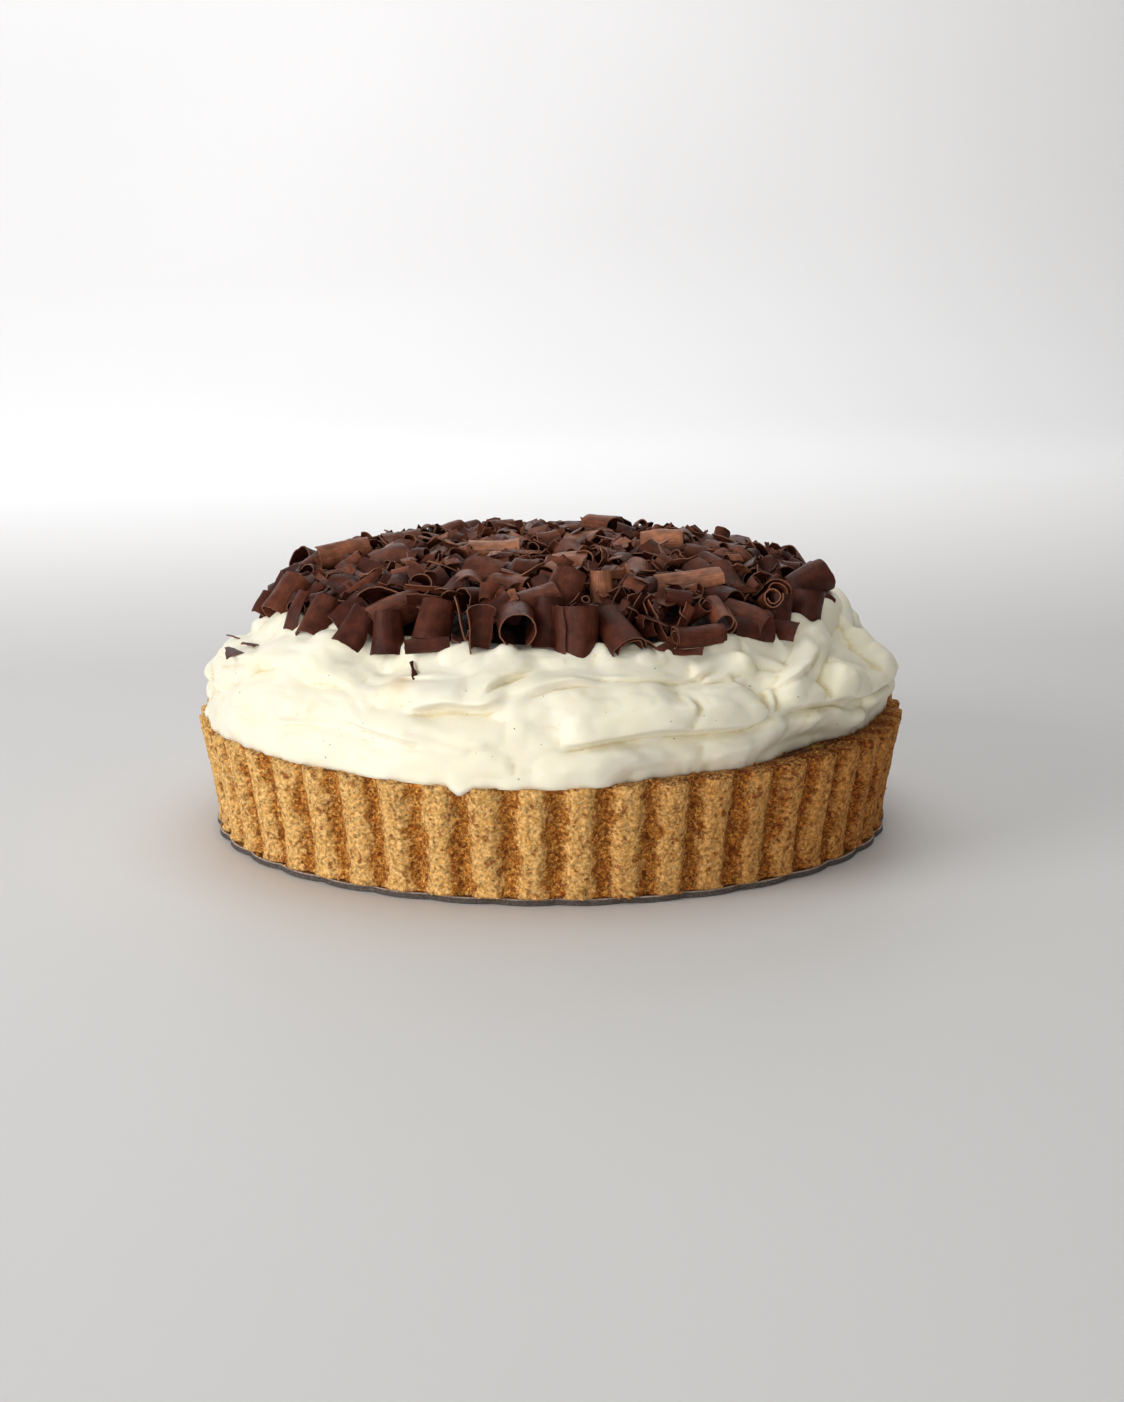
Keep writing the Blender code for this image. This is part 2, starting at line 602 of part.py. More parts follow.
# ---------------------------------------------------------------- chocolate curls
def shaving(length, radius, curl, flare, steps):
    """Curled strip of chocolate along X, centred, its crown towards +Z (mm and degrees)."""
    bm = bmesh.new()
    bmesh.ops.create_grid(bm, x_segments=1, y_segments=steps, size=0.5)
    growth = max(0.0, curl - WIND_FROM) / 360.0 * WIND_INWARD
    for v in bm.verts:
        along = v.co.x + 0.5
        part = v.co.y + 0.5
        turn = math.radians(curl * (part - 0.5))
        r = radius * (1.0 + (flare - 1.0) * along) - growth * part
        v.co = Vector((v.co.x * length, r * math.sin(turn), r * math.cos(turn))) * MM
    centre = (min(v.co.z for v in bm.verts) + max(v.co.z for v in bm.verts)) / 2.0
    bmesh.ops.translate(bm, verts=bm.verts, vec=(0.0, 0.0, -centre))
    bmesh.ops.solidify(bm, geom=bm.faces[:], thickness=SHAVING_THICKNESS)
    bmesh.ops.recalc_face_normals(bm, faces=bm.faces)
    bmesh.ops.triangulate(bm, faces=bm.faces)
    return bm


def curl_steps(curl):
    return max(2, round(curl / DEGREES_A_STEP))


def turned(bm, spot, heading, pitch, spin):
    """Spins a shaving about its axis, tips it up, heads it round and sets it down."""
    spin_turn = Matrix.Rotation(math.radians(spin), 4, "X")
    tip_turn = Matrix.Rotation(math.radians(-pitch), 4, "Y")
    head_turn = Matrix.Rotation(math.radians(heading), 4, "Z")
    bmesh.ops.transform(
        bm, matrix=Matrix.Translation(spot) @ head_turn @ tip_turn @ spin_turn, verts=bm.verts)


def surface_height(tree, point):
    """Height of a surface under a point, None beside it."""
    hit = tree.ray_cast(Vector((point.x, point.y, 1.0)), Vector((0.0, 0.0, -1.0)))
    return None if hit[0] is None else hit[0].z


def clearance(bm, tree):
    """Least height of a shaving over a surface."""
    least = 1.0
    for v in bm.verts:
        ground = surface_height(tree, v.co)
        if ground is not None:
            least = min(least, v.co.z - ground)
    return least


def middle_of(bm):
    return sum((v.co for v in bm.verts), Vector()) / len(bm.verts)


def nudges(middle):
    """Small moves inward, round and up or down, the shortest first (mm)."""
    outward = Vector((middle.x, middle.y, 0.0)).normalized()
    around = Vector((-outward.y, outward.x, 0.0))
    moves = [outward * -i + around * k + Vector((0.0, 0.0, j))
             for i in range(0, 10) for k in (0, -2, 2, -4, 4) for j in range(-4, 7)]
    return sorted(moves, key=lambda move: move.length)


def place_near(bm, core_tree, cream_tree, others):
    """Moves a shaving the least that fuses it to the core, clear of cream and others."""
    for move in nudges(middle_of(bm)):
        trial = bm.copy()
        bmesh.ops.translate(trial, verts=trial.verts, vec=move * MM)
        tree = BVHTree.FromBMesh(trial)
        fused = tree.overlap(core_tree) and clearance(trial, core_tree) < -0.5 * MM
        if fused and clearance(trial, cream_tree) > GAP:
            if not tree.overlap(cream_tree) and not any(tree.overlap(o) for o in others):
                return trial, tree
        trial.free()
    return None


def settle(bm, core_tree, cream_tree, others):
    """Lets a shaving down until it sinks a little into the core."""
    drop = min(clearance(bm, core_tree) + SINK, clearance(bm, cream_tree) - 1.5 * GAP)
    bmesh.ops.translate(bm, verts=bm.verts, vec=(0.0, 0.0, -drop))
    tree = BVHTree.FromBMesh(bm)
    if not tree.overlap(core_tree) or tree.overlap(cream_tree):
        return None
    if any(tree.overlap(other) for other in others):
        return None
    middle = middle_of(bm)
    limit = lookup(ENVELOPE, math.hypot(middle.x, middle.y) / MM) * MM
    if max(v.co.z for v in bm.verts) > limit + PROUD:
        return None
    return bm, tree


def core_height(azimuth, radius):
    """Height in mm of the core under the curls."""
    spot = at_azimuth(azimuth, radius / 14.0, 0.3)
    return lookup(CORE_PROFILE, radius) + CORE_RELIEF * noise.noise(spot)


def core_reach(azimuth):
    spot = at_azimuth(azimuth, 2.2, 4.0)
    return CORE_PROFILE[-1][0] + 1.6 * noise.noise(spot)


def build_core(material, cream_tree):
    """Low domed core with an uneven outline, lying just clear of the cream."""
    bm = bmesh.new()
    edge_top = CORE_PROFILE[-1][1]

    def on_cream(azimuth, radius):
        spot = at_azimuth(azimuth, radius * MM, 0.0)
        ground = cream_tree.ray_cast(Vector((spot.x, spot.y, 1.0)), Vector((0.0, 0.0, -1.0)))
        spot.z = ground[0].z + 3.0 * GAP
        return spot

    under = [add_ring(bm, CORE_COLUMNS, lambda a: on_cream(a, core_reach(a) - 2.0))]
    for up, count in zip(CREAM_INNER_ROWS, (CORE_COLUMNS, CORE_COLUMNS // 2)):
        under.append(add_ring(bm, count, lambda a, up=up: cream_point(a, up) + LIFT))
    rim = add_ring(bm, CORE_COLUMNS, lambda a: at_azimuth(
        a, core_reach(a) * MM, max(edge_top * MM, on_cream(a, core_reach(a)).z + MM)))
    upper = [rim]
    for radius in CORE_RINGS:
        upper.append(add_ring(bm, CORE_COLUMNS, lambda a, r=radius: at_azimuth(
            a, r * MM, core_height(a, r) * MM)))
    skin(bm, under[1], under[0])
    step_skin(bm, under[1], under[2])
    skin(bm, under[0], rim)
    skin(bm, upper[0], upper[1])
    skin(bm, upper[1], upper[2])
    last = upper[2]
    for radius in CORE_INNER_RINGS:
        ring = add_ring(bm, len(last) // 2, lambda a, r=radius: at_azimuth(
            a, r * MM, core_height(a, r) * MM))
        step_skin(bm, last, ring)
        last = ring
    fan(bm, last, (0.0, 0.0, core_height(0.0, 0.0) * MM))
    fan(bm, under[2], Vector((0.0, 0.0, CREAM_PROFILE[-1][1] * MM)) + LIFT)
    return to_object(bm, "chocolate_curls", material, False)


def front_shaving(spec, share):
    """A curl that can be told apart, from its face turned to the front, whole or shortened."""
    x, y, z, length, radius, curl, flare, heading, pitch, spin = spec
    depth = radius * (0.9 if curl > 180 else 0.35)
    spot = Vector((x, y + depth * 0.9, z - depth * 0.45)) * MM
    bm = shaving(length * share, radius * share, curl, flare, curl_steps(curl))
    turned(bm, spot, heading, pitch, spin)
    return bm


def random_shavings(rng):
    """More curls for all of the heap, largest first."""
    for count, lengths, radii, curls in SHAVING_KINDS:
        for _ in range(count):
            curl = rng.uniform(*curls)
            yield shaving(rng.uniform(*lengths), rng.uniform(*radii), curl,
                          rng.uniform(0.85, 1.1), curl_steps(curl))


def scatter_spot(rng):
    """A place on the heap, spread evenly over its area."""
    azimuth = rng.uniform(-180.0, 180.0)
    radius = HEAP_RADIUS * math.sqrt(rng.random())
    return azimuth, radius


def build_curls(material, cream):
    rng = random.Random(HEAP_SEED)
    cream_tree = tree_of(cream)
    core = build_core(material, cream_tree)
    core_tree = tree_of(core)
    trees = []
    pieces = []

    def keep(placed):
        if placed is None:
            return False
        pieces.append(to_object(placed[0], "shaving", material, False))
        trees.append(placed[1])
        return True

    for spec in FRONT_CURLS.values():
        for share in (1.0, 0.86, 0.74):
            if keep(place_near(front_shaving(spec, share), core_tree, cream_tree, trees)):
                break

    for bm in random_shavings(rng):
        if len(pieces) >= SHAVING_LIMIT:
            break
        for _ in range(24):
            azimuth, radius = scatter_spot(rng)
            lean = rng.uniform(-10.0, 20.0)
            heading = rng.uniform(0.0, 360.0)
            if radius > HEAP_EDGE:
                lean = rng.uniform(5.0, 50.0)
                heading = azimuth + 90.0 + rng.uniform(-50.0, 50.0)
            trial = bm.copy()
            turned(trial, at_azimuth(azimuth, radius * MM, 0.1), heading, lean,
                   rng.uniform(-70.0, 70.0))
            if keep(settle(trial, core_tree, cream_tree, trees)):
                break
    union_onto(core, pieces)
    return core


def tree_of(obj):
    bm = bmesh.new()
    bm.from_mesh(obj.data)
    tree = BVHTree.FromBMesh(bm)
    bm.free()
    return tree


def clear_scene():
    for obj in list(bpy.data.objects):
        bpy.data.objects.remove(obj, do_unlink=True)


def main():
    clear_scene()
    card = make_material("card_board", (0.10, 0.085, 0.075), 0.6)
    crumb = make_material("crumb_crust", (0.50, 0.27, 0.10), 0.9)
    caramel = make_material("caramel_filling", (0.20, 0.07, 0.02), 0.35)
    whipped = make_material("whipped_cream", (0.90, 0.86, 0.74), 0.45)
    chocolate = make_material("chocolate_shavings", (0.075, 0.028, 0.018), 0.4)
    build_card(card)
    build_crust(crumb)
    build_caramel(caramel)
    cream = build_cream(whipped)
    build_curls(chocolate, cream)


main()
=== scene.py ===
"""Banoffee pie, the looks: crumb crust, caramel, folded cream and chocolate curls.

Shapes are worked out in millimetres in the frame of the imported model: +Z up, the card's
underside on z = 0, the side that the camera sees towards -Y. Azimuths are in degrees, counted
from the front towards +X, and `up` is the way in mm along the cream from its lower edge.
Each piece stands for one solid of the model: card, crust, caramel, cream or heap of curls.
The same seeds give the same crumbs, folds and curls in each run."""

import math
import random

import bmesh
import bpy
import numpy as np
from mathutils import Euler, Matrix, Vector, noise
from mathutils.bvhtree import BVHTree


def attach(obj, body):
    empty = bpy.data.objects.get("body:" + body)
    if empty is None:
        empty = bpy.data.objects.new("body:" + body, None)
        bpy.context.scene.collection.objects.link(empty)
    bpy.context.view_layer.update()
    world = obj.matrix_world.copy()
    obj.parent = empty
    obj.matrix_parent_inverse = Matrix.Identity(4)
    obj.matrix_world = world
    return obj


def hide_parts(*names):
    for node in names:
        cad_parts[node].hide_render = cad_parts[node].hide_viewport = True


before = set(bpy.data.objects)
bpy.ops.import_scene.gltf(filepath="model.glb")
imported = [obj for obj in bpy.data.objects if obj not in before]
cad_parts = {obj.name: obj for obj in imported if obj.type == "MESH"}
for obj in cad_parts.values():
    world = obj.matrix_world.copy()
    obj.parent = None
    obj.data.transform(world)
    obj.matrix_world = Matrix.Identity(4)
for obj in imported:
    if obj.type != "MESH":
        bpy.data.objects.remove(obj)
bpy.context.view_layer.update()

MM = 0.001
WELD = 0.002 * MM

# camera: place in metres, angles in degrees, focal length in pixels of the photo
PHOTO_HEIGHT = 1402
FOCAL_PIXELS = 2250.0
SENSOR = 36.0
CAMERA_PLACE = (0.0, -0.7268, 0.191475)
CAMERA_DOWN = 11.98
CAMERA_TURN = -0.285

# card
CARD_TOP = 2.0
CARD_CUSP_RADIUS = 108.5
CARD_LOBE_RISE = 1.6
CARD_LOBE_ROUNDING = 0.7
CARD_FRONT_SHORT = 1.5
CARD_FRONT_SPREAD = 42.0
CARD_LOBES = 36
CARD_PHASE = 1.0
CARD_STEPS_PER_LOBE = 14
CARD_FRAY = 0.16
# share of the radius and level, from the middle below to the middle on top
CARD_SECTION = ((0.0, 0.0), (0.6, 0.0), (0.996, 0.0), (1.0, 0.25), (1.0, 0.75), (1.0, 1.25),
                (1.0, 1.72), (0.9965, CARD_TOP), (0.6, CARD_TOP), (0.0, CARD_TOP))

# crumb crust
RIM_RADIUS = 115.0
FOOT_RADIUS = 109.0
FOOT_LEVEL = 2.3
WALL_BOW = 1.25
RIM_HEIGHT = 36.6
RIM_LIFT = 0.9
RIM_DIP = 1.4
RIM_DIP_AT = -6.0
RIM_DIP_SPREAD = 24.0
RIM_SLANT = 0.5
FLUTES = 51
FLUTE_PHASE = -2.8
FLUTE_DEPTH = 3.2
FLUTE_CREST = 0.84
FLUTE_CURVE = 1.35
FLUTE_FOOT_SHARE = 0.62
INNER_RIM_RADIUS = 106.5
INNER_FOOT_RADIUS = 100.0
CRUST_FLOOR = 6.0
# chips of the rim as azimuth and depth, and caramel on it as azimuth and half width in degrees
RIM_NOTCHES = ((-13.2, 2.4), (-29.5, 1.2), (128.0, 1.6), (205.0, 1.4))
NOTCH_WIDTH = 2.2
RIM_SEEPS = ((7.9, 1.8), (24.5, 10.0), (41.0, 8.0), (-39.5, 2.2), (-34.5, 2.0), (-17.5, 1.5))
INNER_SEEP = 0.6
CRUST_COLUMNS = FLUTES * 22
CRUST_FOOT_ROWS = 2
CRUST_WALL_ROWS = 58
CRUST_RIM_ROWS = 13
CRUST_INNER_ROWS = 2
WALL_END = CRUST_FOOT_ROWS + CRUST_WALL_ROWS
RIM_END = WALL_END + CRUST_RIM_ROWS
# how rough the pressed crumb is between the flutes, and how much less so on their crests
CRUMB_ROUGH = 1.20
CREST_PRESSED = 0.85
GRAIN_COUNT = 9500
GRAIN_RADIUS = (0.18, 0.46)
GRAIN_UNEVEN = 0.22
GRAINS_AT_FOOT = 0.07
GRAINS_AT_TOP = 0.14
GRAINS_ON_RIM = 0.09
CRUMB_COUNT = 420
CRUMBS_ON_CARD = 60
CRUMB_RADIUS = (0.3, 0.8)

# caramel
CARAMEL_DROP = 0.5
CARAMEL_COLUMNS = 360
# along the section: over the crust's floor, up its inside, and over the top to the middle
CARAMEL_RADII = (0.0, 99.9, 106.1, 105.6, 104.4, 103.2, 102.0, 100.8, 99.6, 98.4, 97.0, 95.5,
                 93.0, 88.0, 60.0, 0.0)
FRUIT_AZIMUTH = 50.5
FRUIT_RADIUS = 104.0
FRUIT_SPREAD = 1.6

# whipped cream: its plain profile as (radius, height), eased over a reach to both sides
CREAM_PROFILE = (
    (113.2, 36.6), (113.7, 37.8), (113.4, 41.0), (112.2, 46.0), (110.0, 51.5), (106.4, 57.3),
    (101.8, 62.5), (96.5, 67.0), (91.0, 70.0), (80.0, 73.0), (58.0, 77.0), (30.0, 80.0),
    (0.0, 81.0),
)
PROFILE_REACH = 3.0
CREAM_COLUMNS = 720
# rows of its skin: shares of the radius below, fine steps up the flank, a few under the heap
CREAM_UNDER = (0.0, 0.86, 0.985, 1.0)
CREAM_STEP = 0.45
CREAM_FINE_TO = 54.0
CREAM_INNER = (57.0, 62.0, 70.0, 85.0, 105.0)
PAST_MIDDLE = 1000.0
# how far the lower flank stands in from the profile, at each azimuth
CREAM_INSETS = (
    (-180, 2.5), (-160, 4.5), (-140, 2.0), (-120, 3.5), (-104, 5.0), (-90, 2.0), (-75, 2.2),
    (-64, 3.2), (-54, 3.2), (-44, 2.0), (-35, 3.5), (-28, 2.0), (-21, 1.2), (-4, 1.4), (2, 1.1),
    (7, 2.6), (11, 5.6), (18, 7.4), (25, 8.2), (31, 6.4), (38, 9.6), (46, 12.8), (52, 14.0),
    (57, 12.5), (62, 9.6), (72, 8.4), (81, 6.6), (90, 4.4), (104, 4.2), (122, 2.0), (140, 5.5),
    (158, 3.0), (180, 2.5),
)
INSET_LESS = 1.5
INSET_TO = 21.0
RIM_FELT_TO = 20.0
# creases as (azimuth, up) with the height and width of the lip on the left of the way walked
CREAM_FOLDS = (
    (((-24, 19.5), (-17, 22.4), (-9.5, 22.2), (-5.8, 23.0)), 3.8, 8.0),
    (((-10.4, 22.0), (-10.3, 26.5), (-8.6, 30.0), (-5.0, 34.4), (-1.5, 36.8)), 1.7, 7.5),
    (((-6.3, 24.2), (-2.9, 26.3), (2.5, 29.5), (9.0, 30.0)), 1.5, 8.0),
    (((0, 10.6), (5, 11.8), (9, 13.0), (17, 13.9), (26, 13.0), (32, 13.4), (34.5, 16.1),
      (37, 20.5)), 3.4, 9.0),
    (((-34, 15.0), (-26, 12.5), (-18, 10.0)), 1.3, 6.0),
    (((34.3, 22.5), (39, 24.2), (45, 26.6), (50, 30.0), (54, 33.0)), 1.5, 6.0),
    (((64, 14.5), (72, 16.5), (82, 18.0)), 1.4, 5.0),
    (((37.4, 15.4), (43.7, 16.6), (51, 14.9), (55.7, 13.3), (62, 13.6), (72, 15.0),
      (86, 14.0)), 3.2, 8.0),
    (((19.2, 14.2), (20.7, 17.0), (21.8, 20.0), (21.9, 23.4), (21.0, 27.5)), 1.9, 6.0),
    (((-72, 20.5), (-65, 22.5), (-57, 25.0), (-51, 29.0)), 1.8, 9.0),
    (((-46, 24.5), (-40, 27.0), (-34, 26.0)), 1.3, 6.0),
    (((-50, 9.5), (-42, 12.5), (-35, 13.0)), 1.2, 8.0),
    (((-88, 12.0), (-76, 13.5), (-64, 12.0)), 2.0, 7.0),
    (((-28, 33.0), (-22, 32.0), (-17, 33.4)), 0.7, 4.0),
    (((3, 34.5), (11, 32.0), (22, 31.5), (31, 34.0)), 0.9, 4.0),
)
# rounded peaks (and hollows, negative): azimuth, up, radius, height
CREAM_LOBES = (
    (35.0, 34.0, 4.5, 2.6), (54.0, 22.0, 7.5, 2.6), (45.0, 9.5, 4.0, 2.0), (84.0, 44.0, 8.0, 3.4),
    (86.0, 31.5, 5.5, -3.4), (17.5, 20.0, 6.0, 1.4), (-46.0, 38.0, 8.0, 1.4),
    (-84.0, 42.0, 13.0, -4.6), (66.0, 20.5, 6.0, 1.6), (28.0, 7.0, 8.0, 1.2),
    (-2.0, 5.0, 9.0, 1.0), (4.0, 44.0, 12.0, -1.6), (-32.0, 43.0, 12.0, -2.4),
    (20.0, 42.0, 10.0, -1.6), (-99.0, 30.0, 16.0, -4.6), (91.0, 27.0, 9.0, -4.6),
    (82.0, 17.5, 8.0, -2.4), (102.0, 43.0, 10.0, 2.0), (83.0, 6.0, 8.0, 2.0),
)
FOLD_DEPTH = 1.75
FOLD_SHARE = 0.75
FOLD_ENDS = 9.0
CREASE_DEPTH = 0.55
LIP_LEAN = 0.42
BACK_FOLDS = 9
BACK_FROM = 98.0
BACK_SPAN = 150.0
BACK_LEVELS = (10.0, 19.0, 28.0, 36.0)
FOLD_FADE = (38.0, 54.0)
RELIEF_FADE = (54.0, 66.0)
# waves a mm, and height
LUMPS = ((0.028, 2.4), (0.062, 1.4))
# beyond this radius the relief is pressed back to a share of itself
CREAM_EASE = 112.2
CREAM_EASED_SHARE = 0.55
# mm along the cream's flank for each degree of azimuth
DEGREE_ARC = 1.88

# rolls of cream laid over each other: height, how far the upper side spreads, then
# (azimuth, up, half width) along each
CREAM_ROLLS = {
    "middle_roll": (3.2, 1.7, ((-7.8, 25.5, 6.1), (1.4, 24.4, 7.2), (10.2, 22.1, 7.9),
                               (17.6, 20.8, 7.2))),
    "middle_roll_end": (4.2, 1.1, ((23.9, 21.5, 8.0), (30.1, 21.0, 8.0))),
    "lower_roll": (2.4, 1.7, ((-0.4, 3.2, 4.4), (6.9, 4.6, 5.0), (16.0, 4.4, 5.8),
                              (22.5, 4.2, 5.9))),
    "lower_roll_end": (3.0, 1.3, ((26.1, 5.4, 6.4), (34.1, 6.9, 7.2), (37.5, 8.9, 5.9))),
    "lens": (1.0, 1.5, ((2.4, 13.1, 2.5), (5.5, 13.6, 3.3), (10.1, 13.1, 2.3))),
    "small_tongue": (3.2, 1.1, ((36.4, 22.2, 1.9), (35.9, 17.6, 1.9))),
    "swirl_rim": (4.2, 1.1, ((56.0, 19.6, 9.0), (56.5, 19.3, 9.0))),
    "swirl_heart": (7.6, 1.1, ((51.6, 20.6, 6.6), (52.0, 20.0, 6.6))),
    "swirl_side": (2.9, 1.1, ((42.5, 20.6, 3.9), (45.8, 21.9, 3.3))),
    "right_foot": (4.4, 1.1, ((47.0, 9.4, 5.1), (58.5, 3.9, 4.6), (61.0, 4.4, 4.2))),
    "rising_roll": (4.6, 1.1, ((38.8, 20.8, 4.4), (44.0, 26.6, 5.2), (51.1, 32.6, 5.3),
                               (58.4, 36.8, 4.4))),
    "shoulder_lobe": (6.0, 1.1, ((62.8, 42.0, 6.5), (76.0, 45.4, 7.0))),
    "shoulder_side": (4.6, 1.1, ((83.8, 41.0, 5.6), (71.1, 36.0, 4.6))),
    "far_lobe": (6.2, 1.1, ((71.0, 29.0, 6.6), (70.0, 23.5, 7.2))),
    "far_foot": (4.0, 1.1, ((65.4, 9.2, 4.4), (72.9, 10.4, 4.6))),
    "peak_large": (2.6, 1.4, ((26.0, 34.5, 3.0), (32.0, 35.0, 4.0), (36.0, 33.0, 3.0))),
    "peak_small": (1.8, 1.3, ((27.5, 31.5, 2.2), (31.0, 30.6, 2.0))),
    "peak_side": (2.0, 1.4, ((38.0, 36.5, 3.6), (42.0, 32.8, 3.4))),
    "left_upper": (2.0, 1.7, ((-57.9, 28.0, 5.5), (-46.4, 31.1, 6.5), (-36.5, 30.2, 5.3))),
    "left_middle": (2.2, 1.7, ((-58.4, 14.4, 7.7), (-50.9, 17.8, 7.6), (-45.0, 17.4, 5.0))),
    "left_inner": (1.8, 1.7, ((-37.1, 19.4, 5.6), (-31.8, 20.0, 5.7))),
    "stained_fold": (2.4, 1.7, ((-26.8, 27.0, 4.5), (-20.8, 27.4, 5.4), (-15.8, 27.4, 5.0))),
    "sweep_low": (1.4, 1.7, ((-34.5, 14.1, 3.3), (-27.2, 13.5, 2.7), (-20.5, 10.8, 2.3),
                             (-12.9, 9.1, 1.9))),
    "sweep_high": (1.4, 1.7, ((-32.2, 17.8, 2.6), (-24.1, 15.9, 2.4), (-16.1, 14.2, 2.5),
                              (-10.1, 13.4, 2.7))),
    "left_foot": (2.0, 1.7, ((-66.6, 3.6, 4.6), (-52.8, 3.0, 5.0), (-40.0, 4.1, 4.4),
                             (-30.4, 4.6, 4.0), (-21.8, 4.6, 3.6), (-14.2, 4.8, 3.4),
                             (-7.1, 5.5, 3.2))),
    "under_crease": (0.9, 1.7, ((-16.4, 17.6, 3.5), (-10.4, 17.4, 4.0), (-8.5, 15.5, 3.9))),
    "dip_side": (0.7, 1.7, ((-4.1, 15.6, 4.7), (-0.9, 14.4, 3.8))),
    "over_crease": (1.6, 1.7, ((-6.0, 27.5, 2.8), (-1.8, 30.2, 3.2), (3.8, 31.6, 2.6))),
    "hump_left": (2.2, 1.7, ((-68.1, 38.6, 5.9), (-65.6, 38.8, 5.7))),
    "hump_between_curls": (2.6, 1.7, ((-49.4, 50.5, 6.4), (-45.4, 50.4, 5.4))),
    "hump_funnel": (2.0, 1.7, ((-30.0, 39.1, 3.4), (-28.4, 40.4, 3.0))),
    "hump_little_roll": (2.4, 1.7, ((-18.2, 43.2, 4.8), (-16.4, 44.9, 5.2))),
    "hump_scoop": (2.0, 1.7, ((-9.0, 42.9, 3.1), (-8.0, 43.5, 3.4))),
    "hump_middle": (2.2, 1.7, ((8.4, 47.2, 4.5), (9.4, 45.8, 4.0))),
    "hump_right": (2.4, 1.7, ((31.8, 43.2, 4.9), (34.6, 42.5, 4.7))),
    "hump_corner": (2.4, 1.7, ((53.0, 43.2, 5.3), (55.9, 43.0, 5.4))),
}
# rolls that spread less than this have crisp edges
CRISP_SPREAD = 1.2
CRISP_JOIN = 0.15
SOFT_JOIN = 0.9
SOFT_FROM = 1.2
ROLL_SHARE = 0.9
ROLLS_SUNK = 1.3
FLICK_SHARE = 0.75
FLICK_COUNT = 420
# rows of rolls round the back as (up, width), from this azimuth on at either side
ROLL_TIERS = ((6.0, 5.0), (15.0, 6.5), (24.5, 6.5), (33.5, 6.0), (42.5, 5.5))
ROLLED_FROM = 76.0
DRIFT = 1.6
# the ring of cream that swells just outside the heap
SWELL_UP = 43.5
SWELL_SPREAD = 5.5
SWELL_HEIGHT = 3.0
SWELL_VARIES = 1.8
FOOT_RELIEF = 0.30
# the cream's underside lies this far below the rim, and fills one notch
CREAM_SEAT = 0.6
FILLED_NOTCH = -13.2
FILLED_WIDTH = 2.0
FILLED_DROP = 2.4
FILLED_OUT = 1.2
CREAM_SOFTENING = 1
# strength of the painted shade, dark yellow-brown, in the cream's creases
CREASE_SHADE = 0.6

# faint caramel stains on the cream: azimuth, up, radius, strength
CREAM_STAINS = ((-25.5, 28.6, 5.0, 0.45), (-40.1, 17.2, 2.0, 0.45), (-46.1, 24.8, 3.0, 0.14),
                (2.5, 27.0, 7.0, 0.10), (150.0, 22.0, 6.0, 0.2), (-140.0, 12.0, 4.0, 0.2))

# stray shavings on the cream: azimuth, up, length, width, turn, taper
STRAYS = (
    (-63.9, 25.6, 9.5, 6.4, -8.0, 0.85), (-65.2, 30.2, 5.0, 2.4, 30.0, 0.6),
    (-24.0, 35.0, 7.6, 2.0, -66.0, 0.5), (-78.0, 28.0, 9.0, 0.7, 24.0, 0.3),
    (150.0, 26.0, 6.0, 3.0, 35.0, 0.5), (-150.0, 36.0, 7.0, 1.6, -20.0, 0.4),
)

# heap of chocolate: core and upper limit as (radius, height)
CORE_PROFILE = ((0.0, 83.4), (30.0, 83.0), (55.0, 80.6), (70.0, 77.0), (78.0, 74.4), (83.0, 72.0))
ENVELOPE = ((0.0, 92.4), (30.0, 92.0), (58.0, 90.2), (76.0, 86.8), (86.0, 82.0), (92.0, 77.0),
            (96.0, 72.5))
CORE_COLUMNS = 192
CORE_ROWS = 30
HEAP_RADIUS = 89.0
HEAP_EDGE = 78.0
HEAP_REACH = 94.5
HEAP_OVER = 1.4
PILE_CELL = 0.6
PILE_HALF = 102.0
OPEN_SKY = 999.0
SHEET_THICKNESS = 0.4
# sheets curled by more degrees than this wind inwards, by so many mm a turn
WIND_FROM = 300.0
WIND_INWARD = 2.3
# ragged ends of a sheet: seed, mm between tears, depth
TEARS = ((3.0, 5.0, 0.9), (5.0, 1.7, 0.7), (7.0, 0.8, 0.35))
FRONT_SUNK = 2.0
MOST_SUNK = 4.0


# ---------------------------------------------------------------- shape helpers
def smooth(x):
    """Smooth step from 0 to 1."""
    x = np.clip(x, 0.0, 1.0)
    return x * x * (3.0 - 2.0 * x)


def rising(x, start, end):
    """Smooth step that is 0 up to the start and 1 from the end on."""
    return smooth((x - start) / (end - start))


def falling(x, start, end):
    """Smooth step that is 1 up to the start and 0 from the end on."""
    return 1.0 - rising(x, start, end)


def bell(x, spread):
    """1 at zero, fading to both sides."""
    return np.exp(-(x / spread) ** 2)


def lookup(table, x):
    """Straight-line value of a sorted (x, value) table."""
    places, values = zip(*table)
    return np.interp(x, places, values)


def wrapped(azimuth):
    """Azimuth brought between -180 and 180."""
    return (azimuth + 180.0) % 360.0 - 180.0


def stacked(*parts):
    """Points from their coordinates, each an array or one number."""
    return np.column_stack(np.broadcast_arrays(*parts))


def round_points(azimuth, radius, height):
    """Points in mm, from azimuths, radii and heights."""
    a = np.radians(azimuth)
    return stacked(radius * np.sin(a), -radius * np.cos(a), height)


def carried(points, matrix):
    """The points moved and turned by a matrix."""
    move = np.array(matrix)
    return points @ move[:3, :3].T + move[:3, 3]


def grain(points, fine, seed=0.0):
    """Smooth noise from -1 to 1, `fine` waves a mm (one number, or one for each axis)."""
    shifted = points * np.array(fine) + np.array((17.3, 31.7, 7.9)) * seed
    return np.array([noise.noise(p) for p in shifted.tolist()])


def cells(points, fine, seed=0.0):
    """Nearest distance to scattered spots, `fine` spots a mm."""
    shifted = points * np.array(fine) + np.array((11.3, 5.7, 27.9)) * seed
    return np.array([noise.voronoi(p)[0][0] for p in shifted.tolist()])


